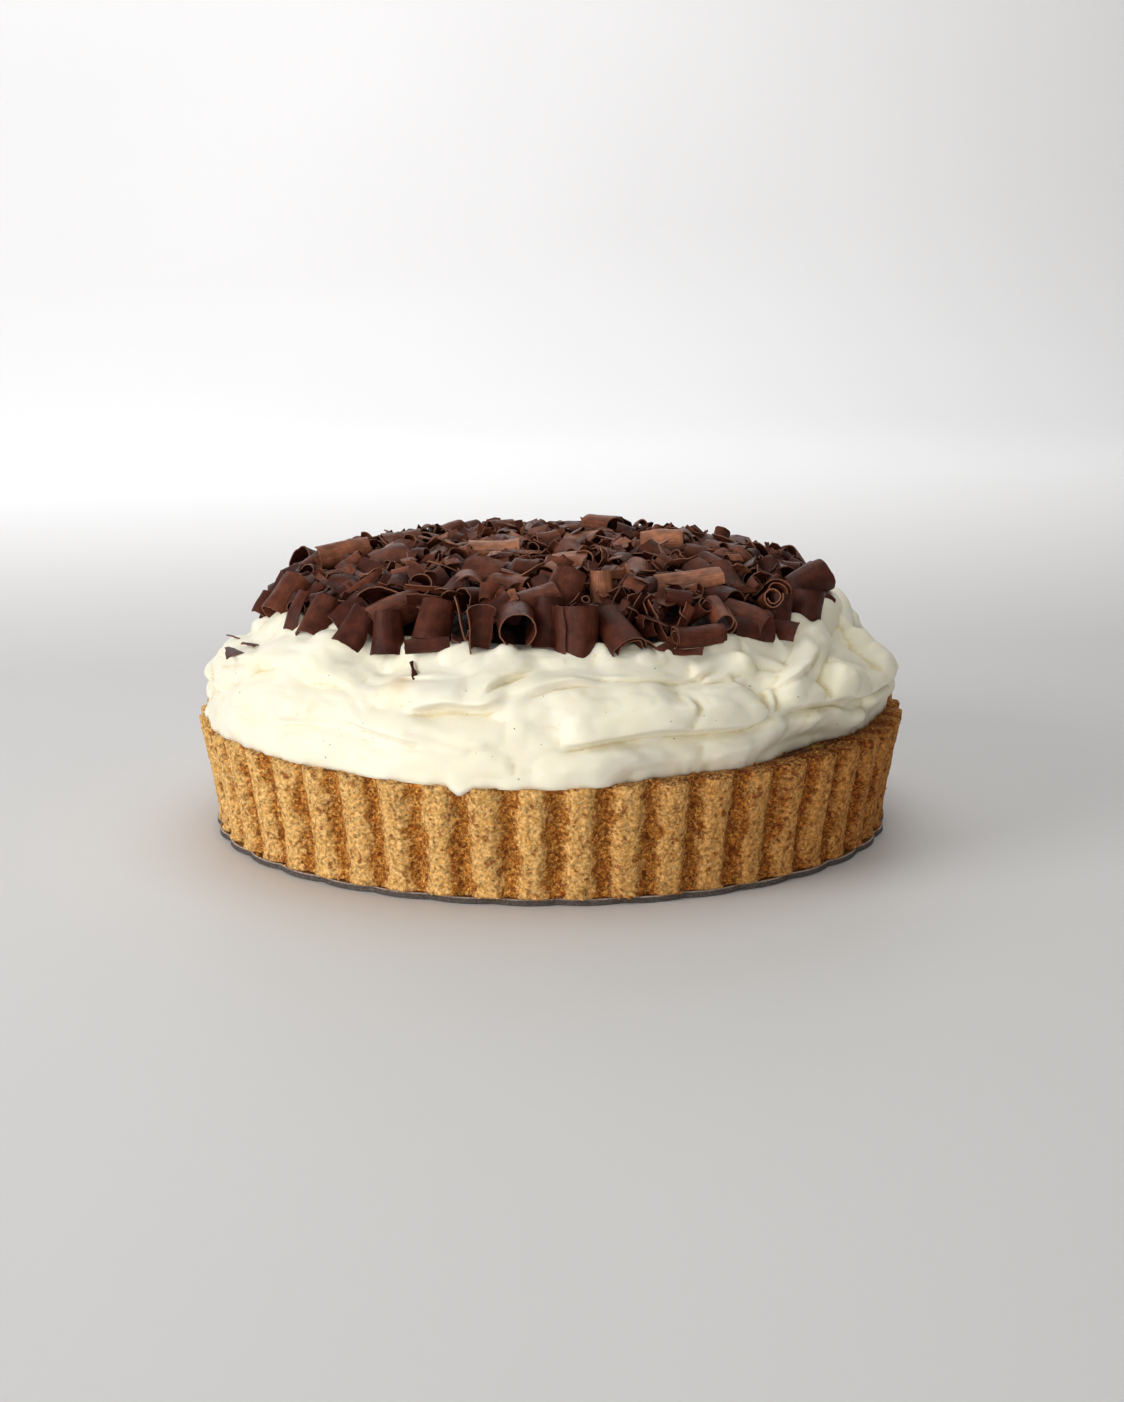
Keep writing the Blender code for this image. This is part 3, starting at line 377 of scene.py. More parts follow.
def round_skin(columns, rows, place, marks=None):
    """Closed skin round the pie, from a grid rolled up: place(azimuth, row) gives mm points.

    marks(points, azimuth, row) gives values to keep at the points, by name."""
    bm = bmesh.new()
    bmesh.ops.create_grid(bm, x_segments=columns, y_segments=rows, size=0.5)
    flat = np.array([v.co for v in bm.verts]) + 0.5
    azimuth = flat[:, 0] * 360.0
    row = flat[:, 1] * rows
    points = place(azimuth, row)
    for v, p in zip(bm.verts, (points * MM).tolist()):
        v.co = p
    kept = marks(points, azimuth, row) if marks else {}
    for name, values in kept.items():
        layer = bm.verts.layers.float.new(name)
        for v, value in zip(bm.verts, values.tolist()):
            v[layer] = value
    bmesh.ops.remove_doubles(bm, verts=bm.verts, dist=WELD)
    bmesh.ops.recalc_face_normals(bm, faces=bm.faces)
    return bm


def hollows(points, columns, rows):
    """How far each point of a rolled-up grid lies below its neighbours, in mm."""
    net = points.reshape(rows + 1, columns + 1, 3)[:, :-1]
    left, right = np.roll(net, 1, axis=1), np.roll(net, -1, axis=1)
    below = np.concatenate((net[:1], net[:-1]))
    above = np.concatenate((net[1:], net[-1:]))
    normal = np.cross(right - left, above - below)
    normal /= np.maximum(np.linalg.norm(normal, axis=2, keepdims=True), 1e-9)
    middle = (left + right + below + above) / 4.0
    depth = ((middle - net) * normal).sum(axis=2)
    return np.concatenate((depth, depth[:, :1]), axis=1).ravel()


def softened(points, columns, rows, first, passes):
    """The points of a rolled-up grid eased towards their neighbours, from row `first` up."""
    net = points.reshape(rows + 1, columns + 1, 3)[:, :-1].copy()
    for _ in range(passes):
        around = (np.roll(net, 1, axis=1) + np.roll(net, -1, axis=1)
                  + np.roll(net, 1, axis=0) + np.roll(net, -1, axis=0)) / 4.0
        net[first:-1] += 0.5 * (around - net)[first:-1]
    return np.concatenate((net, net[:, :1]), axis=1).reshape(-1, 3)


def into_scene(name, data):
    """New object of that name in the scene."""
    obj = bpy.data.objects.new(name, data)
    bpy.context.scene.collection.objects.link(obj)
    return obj


def piece(bm, name, materials, node, rounded=True):
    """Finished piece that rides on the pie and stands for the named solid."""
    mesh = bpy.data.meshes.new(name)
    for face in bm.faces:
        face.smooth = rounded
    bm.to_mesh(mesh)
    bm.free()
    for material in materials:
        mesh.materials.append(material)
    obj = into_scene(name, mesh)
    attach(obj, "root")
    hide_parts(node)
    return obj


def tree_of(obj):
    """Search tree of an object's faces, for rays."""
    bm = bmesh.new()
    bm.from_mesh(obj.data)
    tree = BVHTree.FromBMesh(bm)
    bm.free()
    return tree


# ---------------------------------------------------------------- material helpers
def new_finish(name):
    """New material, its node tree and its shader."""
    material = bpy.data.materials.new(name)
    material.use_nodes = True
    tree = material.node_tree
    return material, tree, tree.nodes["Principled BSDF"]


def give(tree, socket, value):
    """Links an input socket to another socket, or sets it to a plain value."""
    if isinstance(value, bpy.types.NodeSocket):
        tree.links.new(value, socket)
    else:
        socket.default_value = value


def add(tree, kind, inputs=None, **settings):
    """New node with its settings and its inputs, each a value or a socket to link."""
    node = tree.nodes.new(kind)
    for name, value in settings.items():
        setattr(node, name, value)
    for name, value in (inputs or {}).items():
        give(tree, node.inputs[name], value)
    return node


def kept_value(tree, name):
    """Value that was kept at the points of the mesh."""
    return add(tree, "ShaderNodeAttribute", attribute_name=name).outputs["Fac"]


def object_place(tree, stretch=(1.0, 1.0, 1.0)):
    """Object coordinates in millimetres, stretched along the axes."""
    place = add(tree, "ShaderNodeTexCoord").outputs["Object"]
    scale = tuple(1000.0 * s for s in stretch)
    return add(tree, "ShaderNodeMapping", {"Vector": place, "Scale": scale}).outputs["Vector"]


def clouds(tree, place, scale, detail=2.0, rough=0.5):
    """Soft noise from 0 to 1, `scale` waves a mm."""
    inputs = {"Vector": place, "Scale": scale, "Detail": detail, "Roughness": rough}
    return add(tree, "ShaderNodeTexNoise", inputs).outputs["Fac"]


def spots(tree, place, scale, output="Distance"):
    """Scattered spots, `scale` a mm: the distance to the nearest, or its colour."""
    inputs = {"Vector": place, "Scale": scale, "Randomness": 1.0}
    return add(tree, "ShaderNodeTexVoronoi", inputs).outputs[output]


def ramp(tree, factor, *stops):
    """Colour ramp from (position, colour) stops; a colour may be one number."""
    node = add(tree, "ShaderNodeValToRGB", {"Fac": factor})
    band = node.color_ramp
    while len(band.elements) < len(stops):
        band.elements.new(0.5)
    for element, (position, colour) in zip(band.elements, stops):
        element.position = position
        element.color = (*colour, 1.0) if isinstance(colour, tuple) else (colour,) * 3 + (1.0,)
    return node.outputs["Color"]


def blend(tree, factor, first, second, kind="MIX"):
    """Mix of two colours, each a socket or a tuple."""
    node = add(tree, "ShaderNodeMix", data_type="RGBA", blend_type=kind)
    for index, value in ((0, factor), (6, first), (7, second)):
        give(tree, node.inputs[index], (*value, 1.0) if isinstance(value, tuple) else value)
    return node.outputs[2]


def maths(tree, kind, first, second=0.0, third=0.0):
    """Sum of that kind, of values or sockets."""
    node = add(tree, "ShaderNodeMath", operation=kind)
    for socket, value in zip(node.inputs, (first, second, third)):
        give(tree, socket, value)
    return node.outputs[0]


def times(tree, first, second):
    """Product of two values or sockets."""
    return maths(tree, "MULTIPLY", first, second)


def bump(tree, height, distance, strength=1.0, under=None):
    """Bump from a height in 0..1 that stands for `distance` mm."""
    inputs = {"Height": height, "Distance": distance * MM, "Strength": strength}
    if under is not None:
        inputs["Normal"] = under
    return add(tree, "ShaderNodeBump", inputs).outputs["Normal"]


def finish_with(tree, shader, colour, roughness, normal=None, shine=0.5):
    """Gives a shader its colour, how dull and how shiny it is, and its relief."""
    give(tree, shader.inputs["Base Color"], colour)
    give(tree, shader.inputs["Roughness"], roughness)
    give(tree, shader.inputs["Specular IOR Level"], shine)
    if normal is not None:
        give(tree, shader.inputs["Normal"], normal)


# ---------------------------------------------------------------- materials
# dark, middling and light tone of the curls, and the near-black painted shade of the core deep
# between them
CHOCOLATE = ((0.040, 0.0078, 0.0050), (0.150, 0.045, 0.023), (0.36, 0.146, 0.076))
CORE_SHADE_CHOCOLATE = ((0.008, 0.002, 0.0012), (0.012, 0.004, 0.0025), (0.02, 0.006, 0.004))


def crumb_colour(tree, place, tone, crest, fine):
    """Pale crumb on the crests, darker reddish flakes between, with toasted bits, and painted shade
    in the pores.
    """
    deep = ramp(tree, tone, (0.0, (0.23, 0.062, 0.007)), (0.35, (0.37, 0.135, 0.019)),
                (0.75, (0.49, 0.215, 0.040)), (1.0, (0.66, 0.38, 0.11)))
    even = maths(tree, "MULTIPLY_ADD", tone, 0.80, 0.13)
    pale = ramp(tree, even, (0.0, (0.54, 0.275, 0.062)), (0.4, (0.665, 0.378, 0.115)),
                (1.0, (0.79, 0.54, 0.24)))
    patches = clouds(tree, place, 0.16, 3.0, 0.6)
    uneven = maths(tree, "ADD", crest, ramp(tree, patches, (0.30, 0.0), (0.70, 0.55)))
    colour = blend(tree, ramp(tree, uneven, (0.56, 0.0), (1.08, 0.92)), deep, pale)
    toasted = ramp(tree, clouds(tree, place, 0.42, 3.0, 0.6), (0.55, 0.0), (0.67, 0.85))
    colour = blend(tree, toasted, colour, (0.25, 0.062, 0.009))
    flakes = ramp(tree, fine, (0.36, 0.48), (0.50, 1.0), (0.64, 1.45))
    colour = blend(tree, ramp(tree, crest, (0.0, 1.0), (1.0, 0.72)), colour, flakes, "MULTIPLY")
    # painted shade: dark brown where the fine relief is lowest, as in the crevices between crumbs
    edge = maths(tree, "ADD", 0.365, times(tree, crest, -0.045))
    painted_pore_shade = maths(tree, "LESS_THAN", fine, edge)
    return blend(tree, times(tree, painted_pore_shade, 0.75), colour, (0.16, 0.042, 0.009))


def right_side_painted_shade(tree, place):
    """Painted shade: a tint that darkens the crust towards +X, the side turned away from the window
    light.
    """
    across = add(tree, "ShaderNodeSeparateXYZ", {"Vector": place}).outputs["X"]
    return ramp(tree, maths(tree, "MULTIPLY_ADD", across, 0.004, 0.5), (0.1, (1.0, 1.0, 1.0)),
                (0.5, (0.98, 0.94, 0.91)), (0.9, (0.66, 0.47, 0.33)))


def crumb_finish(name, loose):
    """Pressed biscuit crumb, or loose grains of it; on the pressed crumb caramel may seep. The +X
    side is darkened as painted shade.
    """
    material, tree, shader = new_finish(name)
    place = object_place(tree)
    if loose:
        tone = kept_value(tree, "tone")
    else:
        flecks = spots(tree, place, 1.7, "Color")
        tone = add(tree, "ShaderNodeSeparateColor", {"Color": flecks}).outputs["Red"]
    crest = kept_value(tree, "crest")
    fine = clouds(tree, place, 0.85, 3.0, 0.6)
    colour = crumb_colour(tree, place, tone, crest, fine)
    # painted shade: the crust darker towards +X, away from the window light
    colour = blend(tree, 1.0, colour, right_side_painted_shade(tree, place), "MULTIPLY")
    if not loose:
        ragged = ramp(tree, fine, (0.35, 1.2), (0.62, 0.1))
        seep = times(tree, kept_value(tree, "seep"), ragged)
        colour = blend(tree, seep, colour, (0.10, 0.026, 0.007))
    lumps = maths(tree, "SUBTRACT", 1.0, spots(tree, place, 1.7))
    lumps = times(tree, lumps, ramp(tree, crest, (0.3, 1.0), (0.9, 0.35)))
    normal = bump(tree, fine, 0.55, 0.9, bump(tree, lumps, 0.30, 0.8))
    finish_with(tree, shader, colour, 0.9, normal, 0.2)
    return material


def cream_finish():
    """Whipped cream: ivory, soft and a little see-into, with vanilla specks, faint stains and
    painted shade in its creases.
    """
    material, tree, shader = new_finish("whipped_cream")
    place = object_place(tree)
    broad = clouds(tree, place, 0.05)
    colour = ramp(tree, broad, (0.35, (0.885, 0.84, 0.685)), (0.65, (0.89, 0.853, 0.73)))
    # painted shade: the creases tinted darker yellow-brown
    colour = blend(tree, kept_value(tree, "crease"), colour, (0.68, 0.54, 0.24))
    mottled = ramp(tree, clouds(tree, place, 0.25), (0.3, 0.4), (0.7, 1.3))
    stain = times(tree, kept_value(tree, "stain"), mottled)
    colour = blend(tree, stain, colour, (0.80, 0.58, 0.30))
    speck_size = ramp(tree, clouds(tree, place, 0.09, 1.0), (0.36, 0.0), (0.66, 0.066))
    speck = maths(tree, "LESS_THAN", spots(tree, place, 0.25), speck_size)
    colour = blend(tree, times(tree, speck, 0.85), colour, (0.06, 0.04, 0.02))
    tiny = bump(tree, clouds(tree, place, 0.8, 3.0, 0.6), 0.14, 0.45)
    finish_with(tree, shader, colour, 0.48, tiny, 0.28)
    shader.inputs["Subsurface Weight"].default_value = 0.4
    shader.inputs["Subsurface Radius"].default_value = (1.0, 0.8, 0.45)
    shader.inputs["Subsurface Scale"].default_value = 1.8 * MM
    return material


def caramel_finish():
    """Thick dark caramel, paler in spots, with a bit of banana at its edge."""
    material, tree, shader = new_finish("caramel_filling")
    place = object_place(tree)
    tone = clouds(tree, place, 0.45, 3.0, 0.6)
    colour = ramp(tree, tone, (0.35, (0.085, 0.023, 0.006)), (0.55, (0.16, 0.052, 0.013)),
                  (0.72, (0.34, 0.155, 0.04)))
    colour = blend(tree, kept_value(tree, "fruit"), colour, (0.42, 0.33, 0.09))
    roughness = ramp(tree, clouds(tree, place, 0.2), (0.35, 0.36), (0.65, 0.62))
    finish_with(tree, shader, colour, roughness, bump(tree, tone, 0.9, 0.8), 0.1)
    return material


def sheet_ridges(tree, tone):
    """Fine ridges that run along a curl's sheet, other ones on each curl."""
    sheet = add(tree, "ShaderNodeUVMap", uv_map="sheet").outputs["UV"]
    drawn = add(tree, "ShaderNodeMapping", {"Vector": sheet, "Scale": (0.09, 2.9, 1.0)})
    offset = add(tree, "ShaderNodeCombineXYZ", {"Z": times(tree, tone, 90.0)})
    inputs = {0: drawn.outputs["Vector"], 1: offset.outputs["Vector"]}
    moved = add(tree, "ShaderNodeVectorMath", inputs, operation="ADD").outputs["Vector"]
    return clouds(tree, moved, 1.0)


def chocolate_finish(name, dark, middling, light, lit_rim=False):
    """Chocolate shaving: smooth and dark at a low tone, lighter and finely ridged at a high tone;
    the tone is partly painted light and shade.
    """
    material, tree, shader = new_finish(name)
    tone = kept_value(tree, "tone")
    place = object_place(tree)
    ridges = sheet_ridges(tree, tone)
    colour = ramp(tree, tone, (0.0, dark), (0.5, middling), (1.0, light))
    streak = ramp(tree, ridges, (0.38, 0.72), (0.50, 1.0), (0.64, 1.2))
    colour = blend(tree, ramp(tree, tone, (0.0, 0.15), (0.6, 0.9)), colour, streak, "MULTIPLY")
    worn = ramp(tree, clouds(tree, place, 0.22, 3.0, 0.6), (0.34, 0.62), (0.50, 1.0), (0.70, 1.55))
    colour = blend(tree, 1.0, colour, worn, "MULTIPLY")
    smooth_to_dull = (0.34, 0.56)
    # painted highlight: the sheets' thin rims blended towards a light pinkish tan
    if lit_rim:
        colour = blend(tree, 0.36, colour, (0.36, 0.178, 0.118))
        smooth_to_dull = (0.5, 0.7)
    roughness = ramp(tree, clouds(tree, place, 0.35), *zip((0.30, 0.70), smooth_to_dull))
    normal = bump(tree, ridges, 0.20, 0.8)
    normal = bump(tree, clouds(tree, place, 0.9, 2.0, 0.6), 0.16, 0.5, normal)
    finish_with(tree, shader, colour, roughness, normal, 0.15)
    return material


def card_finishes():
    """Glossy brown face, rough grey cut edge and the pale line where they meet."""
    face, tree, shader = new_finish("card_face")
    place = object_place(tree)
    colour = ramp(tree, clouds(tree, place, 0.08), (0.3, (0.10, 0.042, 0.014)),
                  (0.7, (0.22, 0.105, 0.03)))
    finish_with(tree, shader, colour, 0.3, bump(tree, clouds(tree, place, 1.2), 0.05, 0.4))
    edge, tree, shader = new_finish("card_edge")
    place = object_place(tree, (1.0, 1.0, 2.2))
    colour = ramp(tree, clouds(tree, place, 1.1, 3.0, 0.7), (0.30, (0.035, 0.026, 0.022)),
                  (0.55, (0.095, 0.076, 0.068)), (0.75, (0.20, 0.17, 0.155)))
    fibres = bump(tree, clouds(tree, place, 1.4, 3.0, 0.7), 0.35, 0.9)
    finish_with(tree, shader, colour, 0.85, fibres)
    lip, tree, shader = new_finish("card_lip")
    place = object_place(tree)
    colour = ramp(tree, clouds(tree, place, 0.9, 3.0, 0.7), (0.35, (0.24, 0.18, 0.15)),
                  (0.65, (0.52, 0.43, 0.38)))
    finish_with(tree, shader, colour, 0.6)
    return face, edge, lip


def floor_finish():
    """Even pale grey, barely clouded."""
    material, tree, shader = new_finish("pale_floor")
    place = object_place(tree)
    colour = ramp(tree, clouds(tree, place, 0.002, 1.0), (0.3, (0.68, 0.68, 0.695)),
                  (0.7, (0.70, 0.70, 0.715)))
    finish_with(tree, shader, colour, 0.6)
    return material


# ---------------------------------------------------------------- card
def card_radius(azimuth):
    """Outline of the card: shallow lobes with cusps between them, a little short at the front."""
    wave = np.abs(np.sin(np.radians((azimuth - CARD_PHASE) * CARD_LOBES / 2.0)))
    front = bell(wrapped(azimuth), CARD_FRONT_SPREAD)
    return CARD_CUSP_RADIUS - CARD_FRONT_SHORT * front + CARD_LOBE_RISE * wave ** CARD_LOBE_ROUNDING


def make_card(finishes):
    """Thin scalloped board with a worn, slightly frayed edge."""
    shares, levels = zip(*CARD_SECTION)
    rows = len(CARD_SECTION) - 1

    def place(azimuth, row):
        share = np.interp(row, range(rows + 1), shares)
        level = np.interp(row, range(rows + 1), levels)
        radius = card_radius(azimuth) * share
        spot = round_points(azimuth, radius, level)
        fray = np.where(share > 0.99, CARD_FRAY * np.abs(grain(spot, 0.9)), 0.0)
        return round_points(azimuth, radius - fray, level)

    bm = round_skin(CARD_LOBES * CARD_STEPS_PER_LOBE, rows, place)
    face_index, edge_index, lip_index = range(3)
    for face in bm.faces:
        up = face.normal.z
        side = lip_index if up > 0.3 else edge_index
        face.material_index = face_index if abs(up) > 0.97 else side
    return piece(bm, "card", finishes, "base_card", rounded=False)


# ---------------------------------------------------------------- crust
def rim_level(azimuth):
    """Height of the crust rim, a little lower at the front than at the sides."""
    dip = bell(wrapped(azimuth) - RIM_DIP_AT, RIM_DIP_SPREAD)
    return RIM_HEIGHT + RIM_LIFT - RIM_DIP * dip + RIM_SLANT * np.sin(np.radians(azimuth))


def flute(azimuth):
    """1 on the broad flat crest of a flute, 0 in its narrow valley."""
    wave = 0.5 + 0.5 * np.cos(np.radians((azimuth - FLUTE_PHASE) * FLUTES))
    return 1.0 - (1.0 - np.minimum(1.0, wave / FLUTE_CREST)) ** FLUTE_CURVE


def notch(azimuth):
    """How deep the rim is chipped."""
    depth = 0.0
    for where, chip in RIM_NOTCHES:
        depth = depth + chip * np.maximum(0.0, 1.0 - np.abs(wrapped(azimuth - where)) / NOTCH_WIDTH)
    return depth


def crust_wall(azimuth, level):
    """Radius and height of the fluted wall as pressed, before wear."""
    crest = FOOT_RADIUS + (RIM_RADIUS - FOOT_RADIUS) * level ** WALL_BOW
    fill = FLUTE_FOOT_SHARE + (1.0 - FLUTE_FOOT_SHARE) * rising(level, 0.0, 0.3)
    radius = crest - FLUTE_DEPTH * fill * (1.0 - flute(azimuth))
    return radius, FOOT_LEVEL + (rim_level(azimuth) - FOOT_LEVEL) * level


def crumb_relief(azimuth, level, spot, coarse):
    """How far crumbs stand out and pits go in, in mm, most between the flutes and at the foot."""
    nodules = 0.5 - cells(spot, 0.52)
    small = grain(spot, 0.8, 3.0)
    pits = rising(grain(spot, 0.36, 5.0), 0.30, 0.52)
    pressed = flute(azimuth + 0.5 * grain(spot, 0.3, 7.0))
    rough = CRUMB_ROUGH - CREST_PRESSED * pressed * rising(level, 0.0, 0.12)
    return rough * (0.75 * nodules + 0.34 * small - 0.9 * pits) + 0.30 * coarse


def crust_place(azimuth, row):
    """Cross-section of the crust: under it, up the fluted wall, over the rim, down inside."""
    level = np.clip((row - CRUST_FOOT_ROWS) / CRUST_WALL_ROWS, 0.0, 1.0)
    across = np.clip((row - WALL_END) / CRUST_RIM_ROWS, 0.0, 1.0)
    on_rim = across > 0.0
    radius, height = crust_wall(azimuth, level)
    spot = round_points(azimuth, radius, height)
    coarse = grain(spot, 0.22)
    # the worn upper edge, and a foot that spreads a little
    worn = np.abs(coarse) * 0.7 + notch(azimuth) + 0.35 * np.abs(grain(spot, 0.55, 2.0))
    edge = rising(level, 0.93, 1.0) * (1.0 - across)
    height = height - worn * edge - 0.5 * edge ** 4
    radius = radius - 0.35 * edge ** 3 + 0.45 * falling(level, 0.0, 0.05) * ~on_rim
    # over the rim to its inner edge, where it meets the caramel
    inner_level = rim_level(azimuth) - CARAMEL_DROP
    radius = radius + (INNER_RIM_RADIUS - radius) * across
    height = height + (inner_level - height) * across
    spot = round_points(azimuth, radius, height)
    relief = crumb_relief(azimuth, level, spot, coarse)
    outward = relief * (1.0 - across) * smooth((row - CRUST_FOOT_ROWS) / 1.5 + 0.3)
    radius = radius + np.where(row >= CRUST_FOOT_ROWS, outward, 0.0)
    height = height + np.where(on_rim & (across < 1.0), 0.75 * relief, 0.0)
    # down inside to the floor of the crust, and the plain underside
    inside = np.clip(row - RIM_END, 0.0, CRUST_INNER_ROWS)
    narrowing = (INNER_RIM_RADIUS - INNER_FOOT_RADIUS) * np.minimum(inside, 1.0)
    radius = np.where(inside > 0.0, INNER_RIM_RADIUS - narrowing, radius)
    radius = np.where(inside > 1.0, 0.0, radius)
    height = np.where(inside >= 1.0, CRUST_FLOOR, height)
    under = row < CRUST_FOOT_ROWS
    radius = np.where(under, np.where(row < 1.0, 0.0, INNER_FOOT_RADIUS), radius)
    height = np.where(under, FOOT_LEVEL, height)
    return round_points(azimuth, radius, height)


def crust_crest(points, azimuth, row):
    """How far each point is up on a flute's crest, and where caramel has seeped over the rim."""
    strayed = azimuth + 1.4 * grain(points, 0.19, 6.0)
    top = smooth((row - 0.965 * CRUST_WALL_ROWS - CRUST_FOOT_ROWS) / 1.5)
    around = grain(round_points(azimuth, RIM_RADIUS, 0.0), 0.07, 2.0)
    seep = 0.6 * rising(around, -0.15, 0.10)
    for where, half in RIM_SEEPS:
        away = np.abs(wrapped(azimuth - where))
        seep = np.maximum(seep, 1.25 * falling(away, half - 0.8, half))
    inner = rising(row - WALL_END, 0.0, 0.5 * CRUST_RIM_ROWS)
    seep = 0.8 * top * seep * (1.0 - inner) + INNER_SEEP * inner
    return {"crest": flute(strayed), "seep": np.clip(seep, 0.0, 1.0)}


def make_crust(finish):
    """Crumb shell with its flutes, worn rim and relief."""
    bm = round_skin(CRUST_COLUMNS, RIM_END + CRUST_INNER_ROWS, crust_place, crust_crest)
    return piece(bm, "crumb_shell", [finish], "crust")


def scattered_grains(name, finish, places, sizes, tones, crests, seed):
    """Joined mesh of many small rough grains, one at each place (mm)."""
    rng = np.random.default_rng(seed)
    bm = bmesh.new()
    bmesh.ops.create_icosphere(bm, subdivisions=1, radius=1.0)
    bm.verts.ensure_lookup_table()
    corners = np.array([v.co for v in bm.verts])
    faces = np.array([[v.index for v in f.verts] for f in bm.faces])
    bm.free()
    count = len(places)
    knobs = rng.standard_normal((count, len(corners), 1)).clip(-1.5, 1.5)
    shape = corners[None] * (1.0 + GRAIN_UNEVEN * knobs)
    widths = rng.uniform(0.7, 1.0, count)
    heights = rng.uniform(0.5, 0.85, count)
    shape *= stacked(1.25, widths, heights)[:, None]
    turns = np.array([Euler(t).to_matrix() for t in rng.uniform(0.0, 6.3, (count, 3)).tolist()])
    shape = np.einsum("nij,nkj->nki", turns, shape) * sizes[:, None, None]
    points = (shape + places[:, None]).reshape(-1, 3) * MM
    polygons = (faces[None] + (np.arange(count) * len(corners))[:, None, None]).reshape(-1, 3)
    mesh = bpy.data.meshes.new(name)
    mesh.from_pydata(points.tolist(), [], polygons.tolist())
    for label, values in (("tone", tones), ("crest", crests)):
        layer = mesh.attributes.new(label, "FLOAT", "POINT")
        layer.data.foreach_set("value", np.repeat(values, len(corners)).astype(np.float32))
    bm = bmesh.new()
    bm.from_mesh(mesh)
    bpy.data.meshes.remove(mesh)
    return piece(bm, name, [finish], "crust")


def make_grains(finish):
    """Crumb grains that stand proud of the wall, fewer on the crests, more at foot, top and rim."""
    rng = np.random.default_rng(5)
    count = GRAIN_COUNT
    azimuth = rng.uniform(0.0, 360.0, count)
    level = rng.uniform(0.0, 1.0, count)
    zone = rng.random(count)
    level = np.where(zone > 1.0 - GRAINS_AT_TOP, 0.985 + 0.015 * level, level)
    level = np.where(zone < GRAINS_AT_FOOT, 0.01 * level, level)
    row = CRUST_FOOT_ROWS + CRUST_WALL_ROWS * level
    over_rim = WALL_END + CRUST_RIM_ROWS * rng.uniform(0, 0.95, count)
    row = np.where(zone > 1.0 - GRAINS_ON_RIM, over_rim, row)
    on_wall = (level > 0.05) & (level < 0.97)
    moved_off = (flute(azimuth) > 0.9) & (rng.random(count) < 0.6) & on_wall
    azimuth = np.where(moved_off, azimuth + 180.0 / FLUTES, azimuth)
    places = crust_place(azimuth, row)
    least, most = GRAIN_RADIUS
    sizes = least + (most - least) * rng.random(count) ** 2
    inward = round_points(azimuth, -1.0, 0.0)
    places = places + inward * (sizes * rng.uniform(0.1, 0.6, count))[:, None]
    places[:, 2] = np.maximum(places[:, 2], CARD_TOP + sizes * 0.8)
    tones = np.clip(rng.normal(0.5, 0.33, count), 0.0, 1.0)
    return scattered_grains("crumb_grains", finish, places, sizes, tones, flute(azimuth), 6)


def make_crumbs(finish):
    """Loose crumbs along the rim, in the corner by the cream and caramel, and on the card."""
    rng = np.random.default_rng(11)
    count = CRUMB_COUNT
    azimuth = rng.uniform(0.0, 360.0, count)
    on_card = np.arange(count) < CRUMBS_ON_CARD
    radius = np.where(on_card, rng.uniform(107.6, 109.3, count), rng.uniform(103.0, 111.5, count))
    sizes = rng.uniform(*CRUMB_RADIUS, count)
    ground = np.where(on_card, CARD_TOP, rim_level(azimuth) - CARAMEL_DROP)
    places = round_points(azimuth, radius, ground + sizes * 0.35)
    tones = np.clip(rng.normal(0.45, 0.3, count), 0.0, 1.0)
    return scattered_grains("rim_crumbs", finish, places, sizes, tones, np.full(count, 0.5), 12)


# ---------------------------------------------------------------- caramel
def make_caramel(finish):
    """Caramel up to just under the rim, its top soft and uneven where it shows."""
    rows = len(CARAMEL_RADII) - 1

    def place(azimuth, row):
        radius = np.interp(row, range(rows + 1), CARAMEL_RADII)
        share = np.minimum(1.0, radius / INNER_RIM_RADIUS)
        level = RIM_HEIGHT + (rim_level(azimuth) - RIM_HEIGHT) * share - CARAMEL_DROP
        spot = round_points(azimuth, radius, level)
        level = level - 0.5 * np.abs(grain(spot, 0.20, 4.0)) - 0.3 * np.abs(grain(spot, 0.5, 1.0))
        level = np.where(row < 2.0, CRUST_FLOOR + 0.3, level)
        return round_points(azimuth, radius, level)

    def marks(points, azimuth, row):
        radius = np.hypot(points[:, 0], points[:, 1])
        bit = bell(wrapped(azimuth - FRUIT_AZIMUTH), FRUIT_SPREAD)
        bit = bit * bell(radius - FRUIT_RADIUS, FRUIT_SPREAD)
        return {"fruit": np.clip(1.4 * bit, 0.0, 1.0)}

    bm = round_skin(CARAMEL_COLUMNS, rows, place, marks)
    return piece(bm, "caramel_layer", [finish], "caramel")


# ---------------------------------------------------------------- cream
def cream_profile(up):
    """Radius and height of the plain profile, and how far its outward slope points out and up."""
    radii, heights = np.array(CREAM_PROFILE).T
    steps = np.hypot(np.diff(radii), np.diff(heights))
    lengths = np.concatenate(((0.0,), np.cumsum(steps)))
    up = np.clip(up, 0.0, lengths[-1] - 0.001)

    def eased(values):
        low = np.interp(up - PROFILE_REACH, lengths, values)
        high = np.interp(up + PROFILE_REACH, lengths, values)
        return (low + 2 * np.interp(up, lengths, values) + high) / 4, high - low

    radius, outward = eased(radii)
    height, upward = eased(heights)
    size = np.hypot(outward, upward)
    return radius, height, upward / size, -outward / size


def back_folds():
    """Folds round the back and sides, in the manner of those at the front."""
    rng = random.Random(7)
    folds = []
    for number in range(BACK_FOLDS):
        start = BACK_FROM + BACK_SPAN * (number + rng.random()) / BACK_FOLDS
        level = BACK_LEVELS[number % len(BACK_LEVELS)] + rng.uniform(-2.5, 2.5)
        slope = rng.uniform(-0.22, 0.22)
        span = rng.uniform(14.0, 30.0)
        bow = rng.uniform(-3.5, 3.5)
        line = []
        for part in (0.0, 0.25, 0.5, 0.75, 1.0):
            line.append((start + span * part,
                         level + slope * span * part + bow * math.sin(math.pi * part)))
        folds.append((tuple(line), rng.uniform(1.3, 2.4), rng.uniform(7.0, 10.0)))
    return folds


